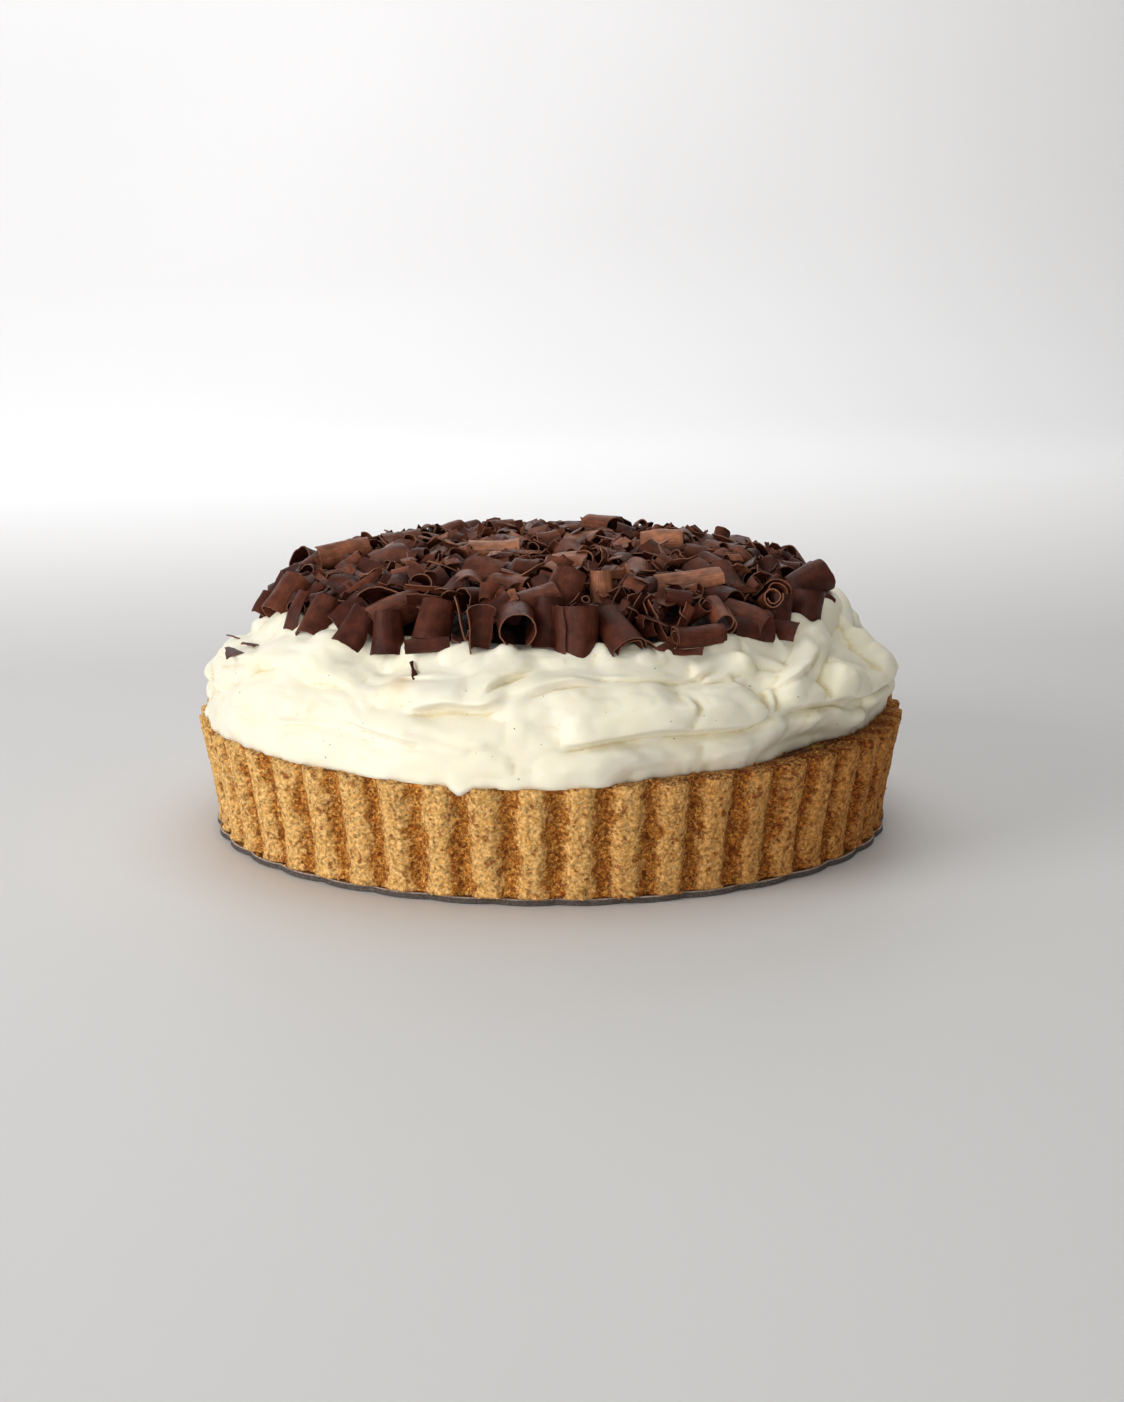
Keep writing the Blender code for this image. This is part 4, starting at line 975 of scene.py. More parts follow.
def rounded_line(line, steps=4):
    """The same way with its corners rounded, still through each of its points."""
    points = [np.array(p, float) for p in line]
    points = [2 * points[0] - points[1]] + points + [2 * points[-1] - points[-2]]
    way = []
    for p0, p1, p2, p3 in zip(points, points[1:], points[2:], points[3:]):
        for k in range(steps):
            t = k / steps
            way.append(0.5 * (2 * p1 + (p2 - p0) * t + (2 * p0 - 5 * p1 + 4 * p2 - p3) * t * t
                              + (3 * p1 - p0 - 3 * p2 + p3) * t ** 3))
    way.append(points[-2])
    return [tuple(p) for p in way]


def from_segment(px, py, sx, sy):
    """How far along a straight bit each spot is nearest to it, and the way from there to it."""
    t = np.clip((px * sx + py * sy) / max(sx * sx + sy * sy, 1e-6), 0.0, 1.0)
    return t, px - sx * t, py - sy * t


def crease_distance(line, azimuth, up):
    """Signed distance to a crease, the way along it, its length and the direction away from it."""
    best = np.full(azimuth.shape, 1e9)
    side, along, away_x, away_y = (np.zeros(azimuth.shape) for _ in range(4))
    walked = 0.0
    for (a0, u0), (a1, u1) in zip(line, line[1:]):
        px, py = wrapped(azimuth - a0) * DEGREE_ARC, up - u0
        sx, sy = (a1 - a0) * DEGREE_ARC, u1 - u0
        t, dx, dy = from_segment(px, py, sx, sy)
        distance = np.hypot(dx, dy)
        length = math.hypot(sx, sy)
        near = distance < best
        best = np.where(near, distance, best)
        side = np.where(near, np.where(sx * py - sy * px >= 0.0, 1.0, -1.0), side)
        along = np.where(near, walked + t * length, along)
        away_x = np.where(near, dx / np.maximum(distance, 1e-6), away_x)
        away_y = np.where(near, dy / np.maximum(distance, 1e-6), away_y)
        walked += length
    return best * side, along, walked, away_x, away_y


def cream_folds(azimuth, up, folds):
    """Height of the fold lips, and how far they lean over their creases, in mm."""
    raised, lean_x, lean_y = (np.zeros(azimuth.shape) for _ in range(3))
    for line, height, width in folds:
        middle = sum(a for a, _ in line) / len(line)
        reach = max(abs(wrapped(a - middle)) for a, _ in line) + 2.0 * width / DEGREE_ARC
        near = np.abs(wrapped(azimuth - middle)) < reach
        if not near.any():
            continue
        way = rounded_line(line)
        distance, along, length, away_x, away_y = crease_distance(way, azimuth[near], up[near])
        ends = rising(along, 0.0, FOLD_ENDS) * rising(length - along, 0.0, FOLD_ENDS)
        lip = rising(distance, 0.0, 0.28 * width) * bell(distance, width)
        dip = -CREASE_DEPTH * bell(distance, 0.3 * width) * rising(-distance, 0.0, 0.6)
        raised[near] += FOLD_DEPTH * height * ends * np.where(distance >= 0.0, lip, dip)
        lean = np.where(distance > 0.0, LIP_LEAN * FOLD_DEPTH * height * ends * lip, 0.0)
        lean_x[near] -= lean * away_x
        lean_y[near] -= lean * away_y
    return raised, lean_x, lean_y


def back_roll(rng, azimuth, level, span, slope, half):
    """A long roll: its height, its spread and the way along it, bowed and thickest midway."""
    bow = rng.uniform(-4.5, 4.5)
    way = []
    for part in (0.0, 0.25, 0.5, 0.75, 1.0):
        swell = math.sin(math.pi * part)
        height = level + slope * (part - 0.5) * 2.0 + bow * swell + rng.uniform(-0.8, 0.8)
        way.append((azimuth + span * part, height, half * (0.7 + 0.4 * swell)))
    share = rng.choice((0.25, 0.5, 0.6, 0.75))
    return share * half, rng.uniform(1.0, 2.2), tuple(way)


def tapered_flap(rng, azimuth, level, span, half):
    """A short flap that tapers, laid over a roll."""
    run = rng.uniform(4.0, 9.0)
    rise = rng.uniform(-5.0, 5.0)
    a = azimuth + span * rng.random()
    u = level + rng.uniform(-3.0, 3.0)
    way = ((a, u, half * 0.35), (a + run / 2.0, u + rise, half * 0.6),
           (a + run, u + 0.6 * rise, half * 0.25))
    return rng.uniform(1.6, 2.8), 1.5, way


def laid_rolls():
    """The rolls of cream: those of the front, and rows of others round the rest."""
    rng = random.Random(19)
    rolls = list(CREAM_ROLLS.values())
    for level, width in ROLL_TIERS:
        azimuth = ROLLED_FROM + rng.uniform(0.0, 10.0)
        while azimuth < 360.0 - ROLLED_FROM - 8.0:
            span = rng.uniform(6.0, 30.0)
            slope = rng.uniform(-6.0, 6.0) * min(1.0, 12.0 / span)
            half = width * rng.uniform(0.55, 1.15)
            rolls.append(back_roll(rng, azimuth, level, span, slope, half))
            if rng.random() < 0.5:
                rolls.append(tapered_flap(rng, azimuth, level, span, half))
            azimuth += span * rng.uniform(0.75, 1.1) + rng.uniform(0.0, 5.0)
    return rolls


def small_flicks():
    """Short soft flicks left by the spatula, all round."""
    rng = random.Random(31)
    flicks = []
    for _ in range(FLICK_COUNT):
        azimuth = rng.uniform(-180.0, 180.0)
        up = rng.uniform(2.0, 50.0)
        run = rng.uniform(1.5, 6.0)
        rise = rng.uniform(-2.5, 2.5)
        half = rng.uniform(1.3, 3.2)
        way = ((azimuth, up, half * 0.7), (azimuth + run / 2.0, up + rise * 0.7, half),
               (azimuth + run, up + rise, half * 0.6))
        flicks.append((rng.uniform(0.35, 0.42) * half, rng.uniform(1.0, 1.6), way))
    return flicks


def cream_rolls(azimuth, up, rolls):
    """Height of rounded rolls laid over each other, so that creases part them."""
    raised = np.zeros(azimuth.shape)
    for height, spread, way in rolls:
        middle = sum(a for a, _, _ in way) / len(way)
        reach = max(abs(a - middle) + half / DEGREE_ARC for a, _, half in way) + 0.5
        near = np.abs(wrapped(azimuth - middle)) < reach
        if not near.any():
            continue
        a, u = wrapped(azimuth[near] - middle), up[near]
        best, side = np.full(a.shape, 9.0), np.zeros(a.shape)
        for (a0, u0, w0), (a1, u1, w1) in zip(way, way[1:]):
            px, py = (a - (a0 - middle)) * DEGREE_ARC, u - u0
            t, dx, dy = from_segment(px, py, (a1 - a0) * DEGREE_ARC, u1 - u0)
            dy = np.where(dy > 0.0, dy / spread, dy)
            distance = np.hypot(dx, dy) / (w0 + (w1 - w0) * t)
            side = np.where(distance < best, dy / np.maximum(np.hypot(dx, dy), 1e-6), side)
            best = np.minimum(best, distance)
        crisp = spread < CRISP_SPREAD
        curve = 0.85 if crisp else 1.15 - 0.45 * smooth(0.5 - 0.7 * side)
        dome = height * np.maximum(0.0, 1.0 - best ** 2) ** curve
        soft = (CRISP_JOIN if crisp else SOFT_JOIN) * np.minimum(1.0, dome / SOFT_FROM)
        apart = raised[near] - dome
        raised[near] = (raised[near] + dome + np.sqrt(apart ** 2 + soft ** 2) - soft) / 2.0
    return raised


def cream_lobes(azimuth, up):
    """Height of the rounded peaks and hollows, in mm."""
    raised = np.zeros(azimuth.shape)
    for a, u, radius, height in CREAM_LOBES:
        raised += height * bell(np.hypot(wrapped(azimuth - a) * DEGREE_ARC, up - u), radius)
    return raised


def cream_relief(base, azimuth, up, folds):
    """How far the cream stands out of its plain shape, and how far its lips lean, in mm."""
    creases, rolls, flicks = folds
    fade = falling(up, *FOLD_FADE)
    foot = FOOT_RELIEF + (1.0 - FOOT_RELIEF) * rising(up, 0.0, 5.0)
    drift = DRIFT * grain(base, 0.07, 8.0)
    raised, lean_x, lean_y = cream_folds(azimuth, up, creases)
    raised = FOLD_SHARE * raised + cream_lobes(azimuth, up)
    raised += sum(grain(base, fine) * height for fine, height in LUMPS)
    raised *= fade
    raised += ROLL_SHARE * cream_rolls(azimuth + drift * 0.4, up + drift, rolls) - ROLLS_SUNK
    # flicks stand out least at the left of the front
    busy = 0.35 + 0.65 * rising(wrapped(azimuth), -10.0, 15.0)
    busy = np.where(np.abs(wrapped(azimuth)) > 100.0, 0.8, busy)
    raised += FLICK_SHARE * busy * cream_rolls(azimuth - drift * 0.3, up + drift, flicks)
    raised += spatula_marks(base)
    uneven = grain(round_points(azimuth, 30.0, 0.0), 0.11, 3.0)
    raised += bell(up - SWELL_UP, SWELL_SPREAD) * (SWELL_HEIGHT + SWELL_VARIES * uneven)
    raised *= foot * falling(up, *RELIEF_FADE)
    return raised, lean_x * foot * fade, lean_y * foot * fade


def cream_spot(azimuth, up, folds):
    """Azimuth, radius and height of the folded cream."""
    inset = (lookup(CREAM_INSETS, wrapped(azimuth)) - INSET_LESS) * falling(up, 0.0, INSET_TO)
    rim_felt = falling(up, 0.0, RIM_FELT_TO)
    radius, level, _, _ = cream_profile(up)
    level = level + (rim_level(azimuth) - RIM_HEIGHT) * rim_felt
    base = round_points(azimuth, radius - inset, level)
    raised, lean_x, lean_y = cream_relief(base, azimuth, up, folds)
    azimuth = azimuth + lean_x / DEGREE_ARC
    radius, level, out, rise = cream_profile(up + lean_y)
    radius = radius - inset + out * raised
    eased = CREAM_EASE + (radius - CREAM_EASE) * CREAM_EASED_SHARE
    radius = np.where(radius > CREAM_EASE, eased, radius)
    level = level + (rim_level(azimuth) - RIM_HEIGHT) * rim_felt + rise * raised
    return azimuth, radius, level


def spatula_marks(base):
    """Soft billows and faint drawn streaks of the spatula, in mm."""
    bent = base.copy()
    bent[:, 2] += 6.0 * grain(base, 0.02, 6.0)
    billows = 2.5 * np.sqrt(grain(bent, (0.045, 0.045, 0.09), 1.0) ** 2 + 0.004) - 0.7
    small = np.sqrt(grain(bent, (0.11, 0.11, 0.20), 5.0) ** 2 + 0.002) - 0.25
    streaks = 0.14 * grain(bent, (0.06, 0.06, 0.40), 2.0) + 0.10 * grain(base, 0.33, 3.0)
    return billows + small + streaks


def make_cream(finish):
    """Cream mound: rolls and folds round its flank, smooth under the heap, closed below."""
    folds = (CREAM_FOLDS + tuple(back_folds()), laid_rolls(), small_flicks())
    flank = np.arange(0.0, CREAM_FINE_TO, CREAM_STEP)
    ups = np.concatenate(((0.0, 0.0, 0.0), flank, CREAM_INNER, (PAST_MIDDLE,)))
    rows = len(ups) - 1

    def place(azimuth, row):
        up = np.interp(row, range(rows + 1), ups)
        shown, radius, level = cream_spot(azimuth, up, folds)
        seat = rim_level(azimuth) - CREAM_SEAT
        edge = round_points(azimuth, 110.0, 0.0)
        droop = np.maximum(0.0, grain(edge, 0.10, 9.0)) + 0.6 * np.abs(grain(edge, 0.24, 4.0))
        radius = radius * np.interp(row, range(len(CREAM_UNDER)), CREAM_UNDER)
        radius = radius + 1.3 * droop * falling(up, 0.0, 5.0) * (row > 1.5)
        level = level - droop * falling(up, 0.0, 4.0)
        level = np.where(row <= 3.0, seat, np.maximum(level, seat))
        radius = np.where(row >= rows, 0.0, radius)
        in_notch = 1.0 - np.abs(wrapped(azimuth - FILLED_NOTCH)) / FILLED_WIDTH
        fill = np.maximum(0.0, in_notch) * falling(up, 0.0, 6.0) * (row > 2.0)
        points = round_points(shown, radius + FILLED_OUT * fill, level - FILLED_DROP * fill)
        return softened(points, CREAM_COLUMNS, rows, 5, CREAM_SOFTENING)

    def marks(points, azimuth, row):
        up = np.interp(row, range(rows + 1), ups)
        depth = hollows(points, CREAM_COLUMNS, rows)
        stain = np.zeros(azimuth.shape)
        for a, u, radius, strength in CREAM_STAINS:
            away = np.hypot(wrapped(azimuth - a) * DEGREE_ARC, up - u)
            stain = np.maximum(stain, strength * bell(away, radius))
        # crease: painted shade where the skin lies below its neighbours
        return {"crease": CREASE_SHADE * rising(depth, 0.035, 0.155) * (row > 5.0), "stain": stain}

    bm = round_skin(CREAM_COLUMNS, rows, place, marks)
    return piece(bm, "folded_cream", [finish], "cream"), folds


# ---------------------------------------------------------------- chocolate
def curl_width(shape):
    """Width in mm of a curl's sheet, rolled out."""
    return math.radians(shape["sweep"]) * shape["radius"]


def sheet_steps(shape, along, least, most, size=1.0):
    """Faces along a sheet and round it, the latter about `size` mm wide within limits."""
    return along, int(np.clip(curl_width(shape) / size, least, most))


class Curls:
    """Sheets of chocolate of one kind, gathered in one mesh with their own tones."""

    def __init__(self):
        self.bm = bmesh.new()
        self.uv = self.bm.loops.layers.uv.new("sheet")
        self.tone = self.bm.verts.layers.float.new("tone")

    def add_sheet(self, shape, matrix, tone, steps):
        """Adds a curled sheet; its UV is the place on the flat sheet in mm."""
        along_steps, around_steps = steps
        made = bmesh.ops.create_grid(self.bm, x_segments=along_steps, y_segments=around_steps,
                                     size=0.5)
        flat = np.array([v.co for v in made["verts"]])
        points = curl_points(shape, flat[:, 0], flat[:, 1] + 0.5)
        placed = carried(points, matrix) * MM
        wide = curl_width(shape)
        spot = {}
        for v, p, (a, b, _) in zip(made["verts"], placed.tolist(), flat.tolist()):
            v.co = p
            v[self.tone] = tone
            spot[v] = (a * shape["length"] + shape["seed"], b * wide)
        for face in {f for v in made["verts"] for f in v.link_faces}:
            for loop in face.loops:
                loop[self.uv].uv = spot[loop.vert]

    def finish(self, name, finishes, thickness, node="chocolate_curls"):
        """Makes the piece, its sheets given their thickness and a torn rim in the second finish,
        lighter as a painted highlight.
        """
        for edge in self.bm.edges:
            edge.smooth = not edge.is_boundary
        obj = piece(self.bm, name, finishes, node)
        shell = obj.modifiers.new("thickness", "SOLIDIFY")
        shell.thickness = thickness * MM
        shell.offset = -1.0
        shell.material_offset_rim = 1


def curl_points(shape, along, around):
    """Points in mm of a sheet curled about X, its crown towards +Z, with torn ends."""
    seed, length, sweep = shape["seed"], shape["length"], math.radians(shape["sweep"])
    wide = curl_width(shape)
    side = np.sign(along)
    torn = sum(grain(stacked(side * kind, around * wide / gap, seed), 1.0) * depth
               for kind, gap, depth in TEARS)
    x = along * (length + 2.0 * torn * shape["torn"] * np.abs(along))
    lines = stacked(along * length * 0.05, around * wide / 1.3, seed * 3.0)
    ridge = grain(lines, 1.0) * 0.13 + grain(lines, 0.3) * 0.30
    dents = grain(stacked(along * 1.6, around * wide / 6.0, seed), 1.0)
    wind = max(0.0, shape["sweep"] - WIND_FROM) / 360.0 * WIND_INWARD
    radius = shape["radius"] * (1.0 + (shape["flare"] - 1.0) * (along + 0.5))
    radius = radius - wind * around + ridge + dents * shape["dent"]
    skew = grain(stacked(along * 2.5, np.round(around) * 5.0, seed * 2.0), 1.0)
    narrowed = 1.0 - shape.get("taper", 0.0) * (0.5 - along)
    turn = sweep * (around - 0.5) * narrowed + shape["twist"] * along
    turn = turn + skew * 1.6 * np.abs(around - 0.5) / shape["radius"]
    z = radius * np.cos(turn) - shape["bow"] * length * along ** 2
    return stacked(x, radius * np.sin(turn), z - (z.min() + z.max()) / 2.0)


def turned(spot, heading, pitch, spin):
    """Matrix in mm: spun about its axis, tipped up, headed round and set down."""
    return (Matrix.Translation(spot) @ Matrix.Rotation(math.radians(heading), 4, "Z")
            @ Matrix.Rotation(math.radians(-pitch), 4, "Y")
            @ Matrix.Rotation(math.radians(spin), 4, "X"))


# curls that can be told apart: x, y, z of the face turned to the front, length, radius, degrees
# of curl, far radius over near radius, then heading, pitch and spin in degrees, and tone
# tone: darker at the front, lighter on top, partly bloom and partly painted shade and light
FRONT_CURLS = {
    "barrel": (-47, -73, 86.0, 17, 5.4, 600, 1.0, 32, 16, 200, 0.36),
    "upright_roll": (7, -93, 78.5, 15.5, 6.9, 520, 1.0, 90, 84, 70, 0.16),
    "cone_roll": (19, -91, 79.5, 16, 5.8, 640, 0.8, 120, 32, 120, 0.12),
    "big_arch": (-10, -92, 85.6, 13, 5.5, 320, 1.0, -85, -8, 12, 0.20),
    "arch_side": (-0.5, -88, 81.0, 15, 4.6, 150, 1.0, 80, 70, 14, 0.06),
    "leaning_sheet": (-34, -86, 81.5, 13, 6.0, 460, 0.9, 66, 60, -16, 0.14),
    "funnel": (-48, -84, 78.5, 13, 5.6, 330, 0.7, 96, 80, 30, 0.06),
    "diamond_sheet": (-58, -78, 78.5, 13, 7.0, 90, 0.8, 40, 48, 30, 0.10),
    "left_funnel": (-70, -62, 79, 14, 5.4, 220, 0.8, 58, 52, 24, 0.20),
    "left_roll": (-82, -37, 79.5, 14, 5.4, 300, 1.0, 44, 44, 20, 0.30),
    "left_shard": (-78, -52, 78.0, 13, 6.0, 60, 1.0, 44, 58, 0, 0.14),
    "tip_hook": (-91, -22, 76.5, 8, 2.8, 240, 1.0, 50, 50, 90, 0.10),
    "lying_roll": (43, -86, 77.2, 15, 3.9, 640, 1.0, 20, 0, 150, 0.20),
    "scoop_tongue": (-21, -93, 80.0, 14, 3.0, 160, 1.5, -84, 66, 20, 0.12),
    "little_roll": (-36, -90, 75.0, 13, 2.3, 330, 1.0, 4, 4, 90, 0.10),
    "end_on_tube": (50, -75, 81.5, 13, 3.8, 470, 1.0, -78, -16, 40, 0.40),
    "half_tube": (58, -71, 80.5, 14, 5.6, 190, 1.0, -24, -18, 40, 0.24),
    "dark_scoop": (60, -73, 78.0, 12, 5.2, 200, 1.0, 12, 4, 60, 0.03),
    "standing_roll": (69, -62, 78.5, 13, 3.8, 330, 1.0, 70, 76, 0, 0.08),
    "spiral_end_a": (68, -48, 85, 12, 4.6, 700, 1.0, -75, 26, 60, 0.45),
    "spiral_end_b": (66, -59, 82, 11, 3.6, 560, 1.0, -82, 20, 20, 0.50),
    "dark_cup": (78, -52, 77.5, 11, 5.0, 330, 1.1, 60, 76, 30, 0.05),
    "big_right_roll": (81, -33, 84, 13, 5.4, 330, 1.0, 20, 24, 120, 0.10),
    "back_right_roll": (79, -2, 85.2, 12, 3.2, 460, 1.0, -38, 8, 30, 0.08),
    "dark_slab": (-60, -70, 82, 11, 8.0, 70, 1.0, 20, 30, 55, 0.06),
    "right_slab": (69, -68, 75.4, 9, 8.0, 50, 1.0, -20, -10, 60, 0.10),
    "low_splinter": (37, -90, 73.2, 14, 7.0, 20, 1.0, -12, -4, 50, 0.15),
    "bent_strip": (-26, -86, 81, 15, 9.0, 30, 1.0, 115, 60, 70, 0.25),
    "blade_left": (31, -84, 81.5, 13, 12.0, 18, 1.0, 120, 40, 85, 0.35),
    "blade_right": (39, -82, 80.5, 12, 12.0, 16, 1.0, 50, 38, 80, 0.45),
    "low_strip": (31, -90, 73.5, 15, 8.0, 22, 1.0, 25, 10, 40, 0.25),
    "long_splinter": (41, -86, 78.0, 16, 12.0, 12, 1.0, 8, 3, 50, 0.40),
    "right_chip": (86, -37, 77.5, 6, 6.0, 60, 1.0, 60, 40, 40, 0.12),
}
# the curls on top have light tones: partly bloom, partly painted light on the top of the heap
TOP_CURLS = {
    "tan_slab_left": (-18, -22, 92.4, 16, 9.0, 70, 1.0, 2, 0, 30, 0.95),
    "tan_slab_right": (36, -4, 92.6, 14, 9.5, 60, 1.0, -2, 0, 40, 0.90),
    "tan_slab_middle": (9, 5, 92.4, 11, 10.0, 65, 1.0, -22, 6, 34, 0.70),
    "peak_arch": (18, 42, 93.0, 13, 5.0, 220, 1.0, -50, 0, 0, 0.55),
    "peak_roll": (57, 26, 89.6, 7, 2.8, 330, 1.0, 60, 48, 0, 0.30),
    "light_tube": (15, -68, 88.6, 9.5, 3.2, 300, 1.0, 90, 80, 0, 0.85),
    "long_flat": (42, -54, 88.8, 21, 8.0, 60, 1.0, 8, 4, 34, 0.75),
    "small_arch": (-25, -61, 89.0, 9, 5.0, 220, 1.0, -86, -6, 0, 0.45),
    "leaning_slab": (-21, -50, 90.4, 13, 9.0, 60, 1.0, -36, -10, 46, 0.30),
    "half_barrel": (-4, -76, 86.5, 12, 5.0, 160, 1.0, 22, 10, 24, 0.35),
    "curved_sheet": (4, -72, 87.6, 12, 6.0, 120, 1.0, 60, 50, 20, 0.25),
    "left_top_roll": (-67, -10, 89.0, 17, 4.6, 300, 1.0, 20, 8, 130, 0.60),
    "left_top_slab": (-51, -21, 90.6, 12, 8.0, 80, 1.0, 30, 14, 20, 0.30),
    "left_back_slab": (-50, 18, 90.4, 13, 7.0, 110, 1.0, 12, 6, 0, 0.40),
    "back_roll": (-17, 41, 91.4, 9, 3.2, 360, 1.0, 30, 0, 40, 0.35),
}


def table_shape(length, radius, sweep, flare, seed):
    """Shape of a curl of the tables; a shard is bent, dented and twisted more than a roll."""
    bent = 0.10 * math.sin(seed * 7.0)
    rolled = sweep > 90
    return {"length": length, "radius": radius, "sweep": sweep, "flare": flare, "seed": seed,
            "torn": 0.6, "dent": 0.45 if sweep > 200 else 0.8, "bow": bent if rolled else 2 * bent,
            "twist": 0.10 if rolled else 0.25}


class Pile:
    """Heights in mm of what lies on the cream, which each new curl is let down onto."""

    def __init__(self, trees):
        self.count = int(2 * PILE_HALF / PILE_CELL) + 1
        self.height = np.zeros((self.count, self.count))
        self.kept = np.zeros((self.count, self.count), bool)
        self.ceiling = np.full((self.count, self.count), OPEN_SKY)
        down = Vector((0.0, 0.0, -1.0))
        for i in range(self.count):
            for j in range(self.count):
                x = (i * PILE_CELL - PILE_HALF) * MM
                y = (j * PILE_CELL - PILE_HALF) * MM
                if math.hypot(x, y) > PILE_HALF * MM:
                    continue
                hits = [tree.ray_cast(Vector((x, y, 1.0)), down)[0] for tree in trees]
                self.height[i, j] = max((hit.z for hit in hits if hit), default=0.0) / MM
        self.ground = self.height.copy()

    def cell(self, points):
        """Cells of the heap's grid that the points are over."""
        index = np.rint((points[:, :2] + PILE_HALF) / PILE_CELL).astype(int)
        index = np.clip(index, 0, self.count - 1)
        return index[:, 0], index[:, 1]

    def gap(self, points, share, bare=False):
        """Gap under the points; a share of them may sink in. Bare counts no curls."""
        height = self.ground if bare else self.height
        return np.quantile(points[:, 2] - height[self.cell(points)], share)

    def covered(self, points):
        """Share of the points that lie over curls that stay in view."""
        return self.kept[self.cell(points)].mean()

    def over_ceiling(self, points):
        """How far the points rise into the room kept for curls that lie on top."""
        return (points[:, 2] - self.ceiling[self.cell(points)]).max()

    def keep_room(self, points):
        """Keeps the room above the points for a curl that is laid later."""
        np.minimum.at(self.ceiling, self.cell(points), points[:, 2])

    def stamp(self, points, keep=False):
        """Raises the heap by a curl; with keep, that curl is to stay in view."""
        cell = self.cell(points)
        np.maximum.at(self.height, cell, points[:, 2])
        if keep:
            self.kept[cell] = True


def sampled(shape, matrix, count):
    """Points in mm all over a placed curl."""
    steps = np.linspace(0.0, 1.0, count)
    around, along = (grid.ravel() for grid in np.meshgrid(steps, steps - 0.5))
    return carried(curl_points(shape, along, around), matrix)


def placed_curl(spec, number, turn=0.0, rng=None, sunk=0.0):
    """Shape, matrix and tone of a curl of the tables; those turned to the back vary."""
    x, y, z, length, radius, sweep, flare, heading, pitch, spin, tone = spec
    if turn:
        heading += rng.uniform(-25.0, 25.0)
        spin += rng.uniform(-30.0, 30.0)
        length *= rng.uniform(0.85, 1.1)
    shape = table_shape(length, radius, sweep, flare, 3.1 * number + 0.7 + turn)
    depth = radius * (0.9 if sweep > 180 else 0.35)
    spot = Vector((x, y + depth * 0.9 + 1.2 * sunk, z - depth * 0.45 - sunk))
    matrix = Matrix.Rotation(math.radians(turn), 4, "Z") @ turned(spot, heading, pitch, spin)
    return shape, matrix, tone


def settling(pile, points, most_drop):
    """How far in mm a curl of the tables is let down, so that it neither floats nor sinks."""
    over_curls = pile.gap(points, 0.04)
    over_cream = pile.gap(points, 0.04, bare=True)
    if over_curls > 0.6:
        return min(over_curls - 0.2, most_drop)
    if over_cream < -MOST_SUNK:
        return max(over_cream + MOST_SUNK, -2.0)
    return 0.0


def lay_known_curls(curls, pile, table, turn=0.0, most_drop=3.5, sunk=0.0):
    """The curls that the front view shows one by one, or their like turned to the back."""
    rng = random.Random(40 + int(turn))
    for number, spec in enumerate(table.values()):
        y = spec[1]
        if turn and y > -30.0:
            continue
        sinks = sunk if y < -60.0 else 0.4 * sunk
        shape, matrix, tone = placed_curl(spec, number, turn, rng, sinks)
        points = sampled(shape, matrix, 26)
        drop = settling(pile, points, most_drop)
        matrix = Matrix.Translation((0.0, 0.0, -drop)) @ matrix
        points[:, 2] -= drop
        curls.add_sheet(shape, matrix, tone, sheet_steps(shape, 14, 8, 72, 0.6))
        pile.stamp(points, keep=True)


def keep_room_for_top(pile):
    """Keeps loose curls out of the places of the curls on top."""
    for number, spec in enumerate(TOP_CURLS.values()):
        shape, matrix, _ = placed_curl(spec, number)
        pile.keep_room(sampled(shape, matrix, 26))


# further curls: count, then least and most length, radius, degrees of curl and tone, most tilt
CURL_KINDS = (
    (75, (9, 15), (3.4, 5.2), (260, 620), (0.05, 0.6), 38),
    (95, (8, 15), (3.6, 6.5), (120, 260), (0.1, 0.8), 44),
    (40, (9, 15), (7.0, 12.0), (45, 95), (0.2, 1.0), 30),
    (85, (6, 11), (1.8, 3.2), (300, 640), (0.1, 0.8), 48),
)
SHARD_KINDS = (
    (110, (6, 11), (4.0, 9.0), (28, 80), (0.0, 0.9), 55),
    (120, (8, 15), (6.0, 12.0), (9, 18), (0.2, 1.0), 40),
    (140, (4, 8), (1.8, 3.6), (110, 300), (0.0, 0.8), 55),
)
CHIP_KINDS = (
    (240, (2.5, 5.0), (3.0, 6.0), (20, 70), (0.0, 1.0), 50),
)
# faces along a sheet, and least and most round it
CURL_STEPS = (3, 6, 26)
SHARD_STEPS = (3, 3, 9)
CHIP_STEPS = (2, 2, 2)


def random_shape(rng, lengths, radii, sweeps):
    """Shape of a further curl, drawn between its limits."""
    radius = rng.uniform(*radii)
    return {"length": rng.uniform(*lengths), "radius": radius, "sweep": rng.uniform(*sweeps),
            "flare": rng.uniform(0.75, 1.15), "seed": rng.uniform(0.0, 90.0), "torn": 1.0,
            "dent": 0.7, "twist": rng.uniform(-0.3, 0.3), "bow": rng.uniform(-0.15, 0.25)}


def random_spot(rng, tilt):
    """Spot high over the heap, and the matrix of a curl there, along the edge if it is near."""
    azimuth = rng.uniform(-180.0, 180.0)
    out = HEAP_RADIUS * math.sqrt(rng.random())
    lean = rng.uniform(-tilt, tilt)
    heading = rng.uniform(0.0, 360.0)
    if out > HEAP_EDGE:
        heading = azimuth + 90.0 + rng.uniform(-70.0, 70.0)
    spin = rng.uniform(-75.0, 75.0) + 180.0 * (rng.random() < 0.3)
    spot = round_points(np.array([azimuth]), out, 100.0)[0]
    return spot, turned(spot, heading, lean, spin)


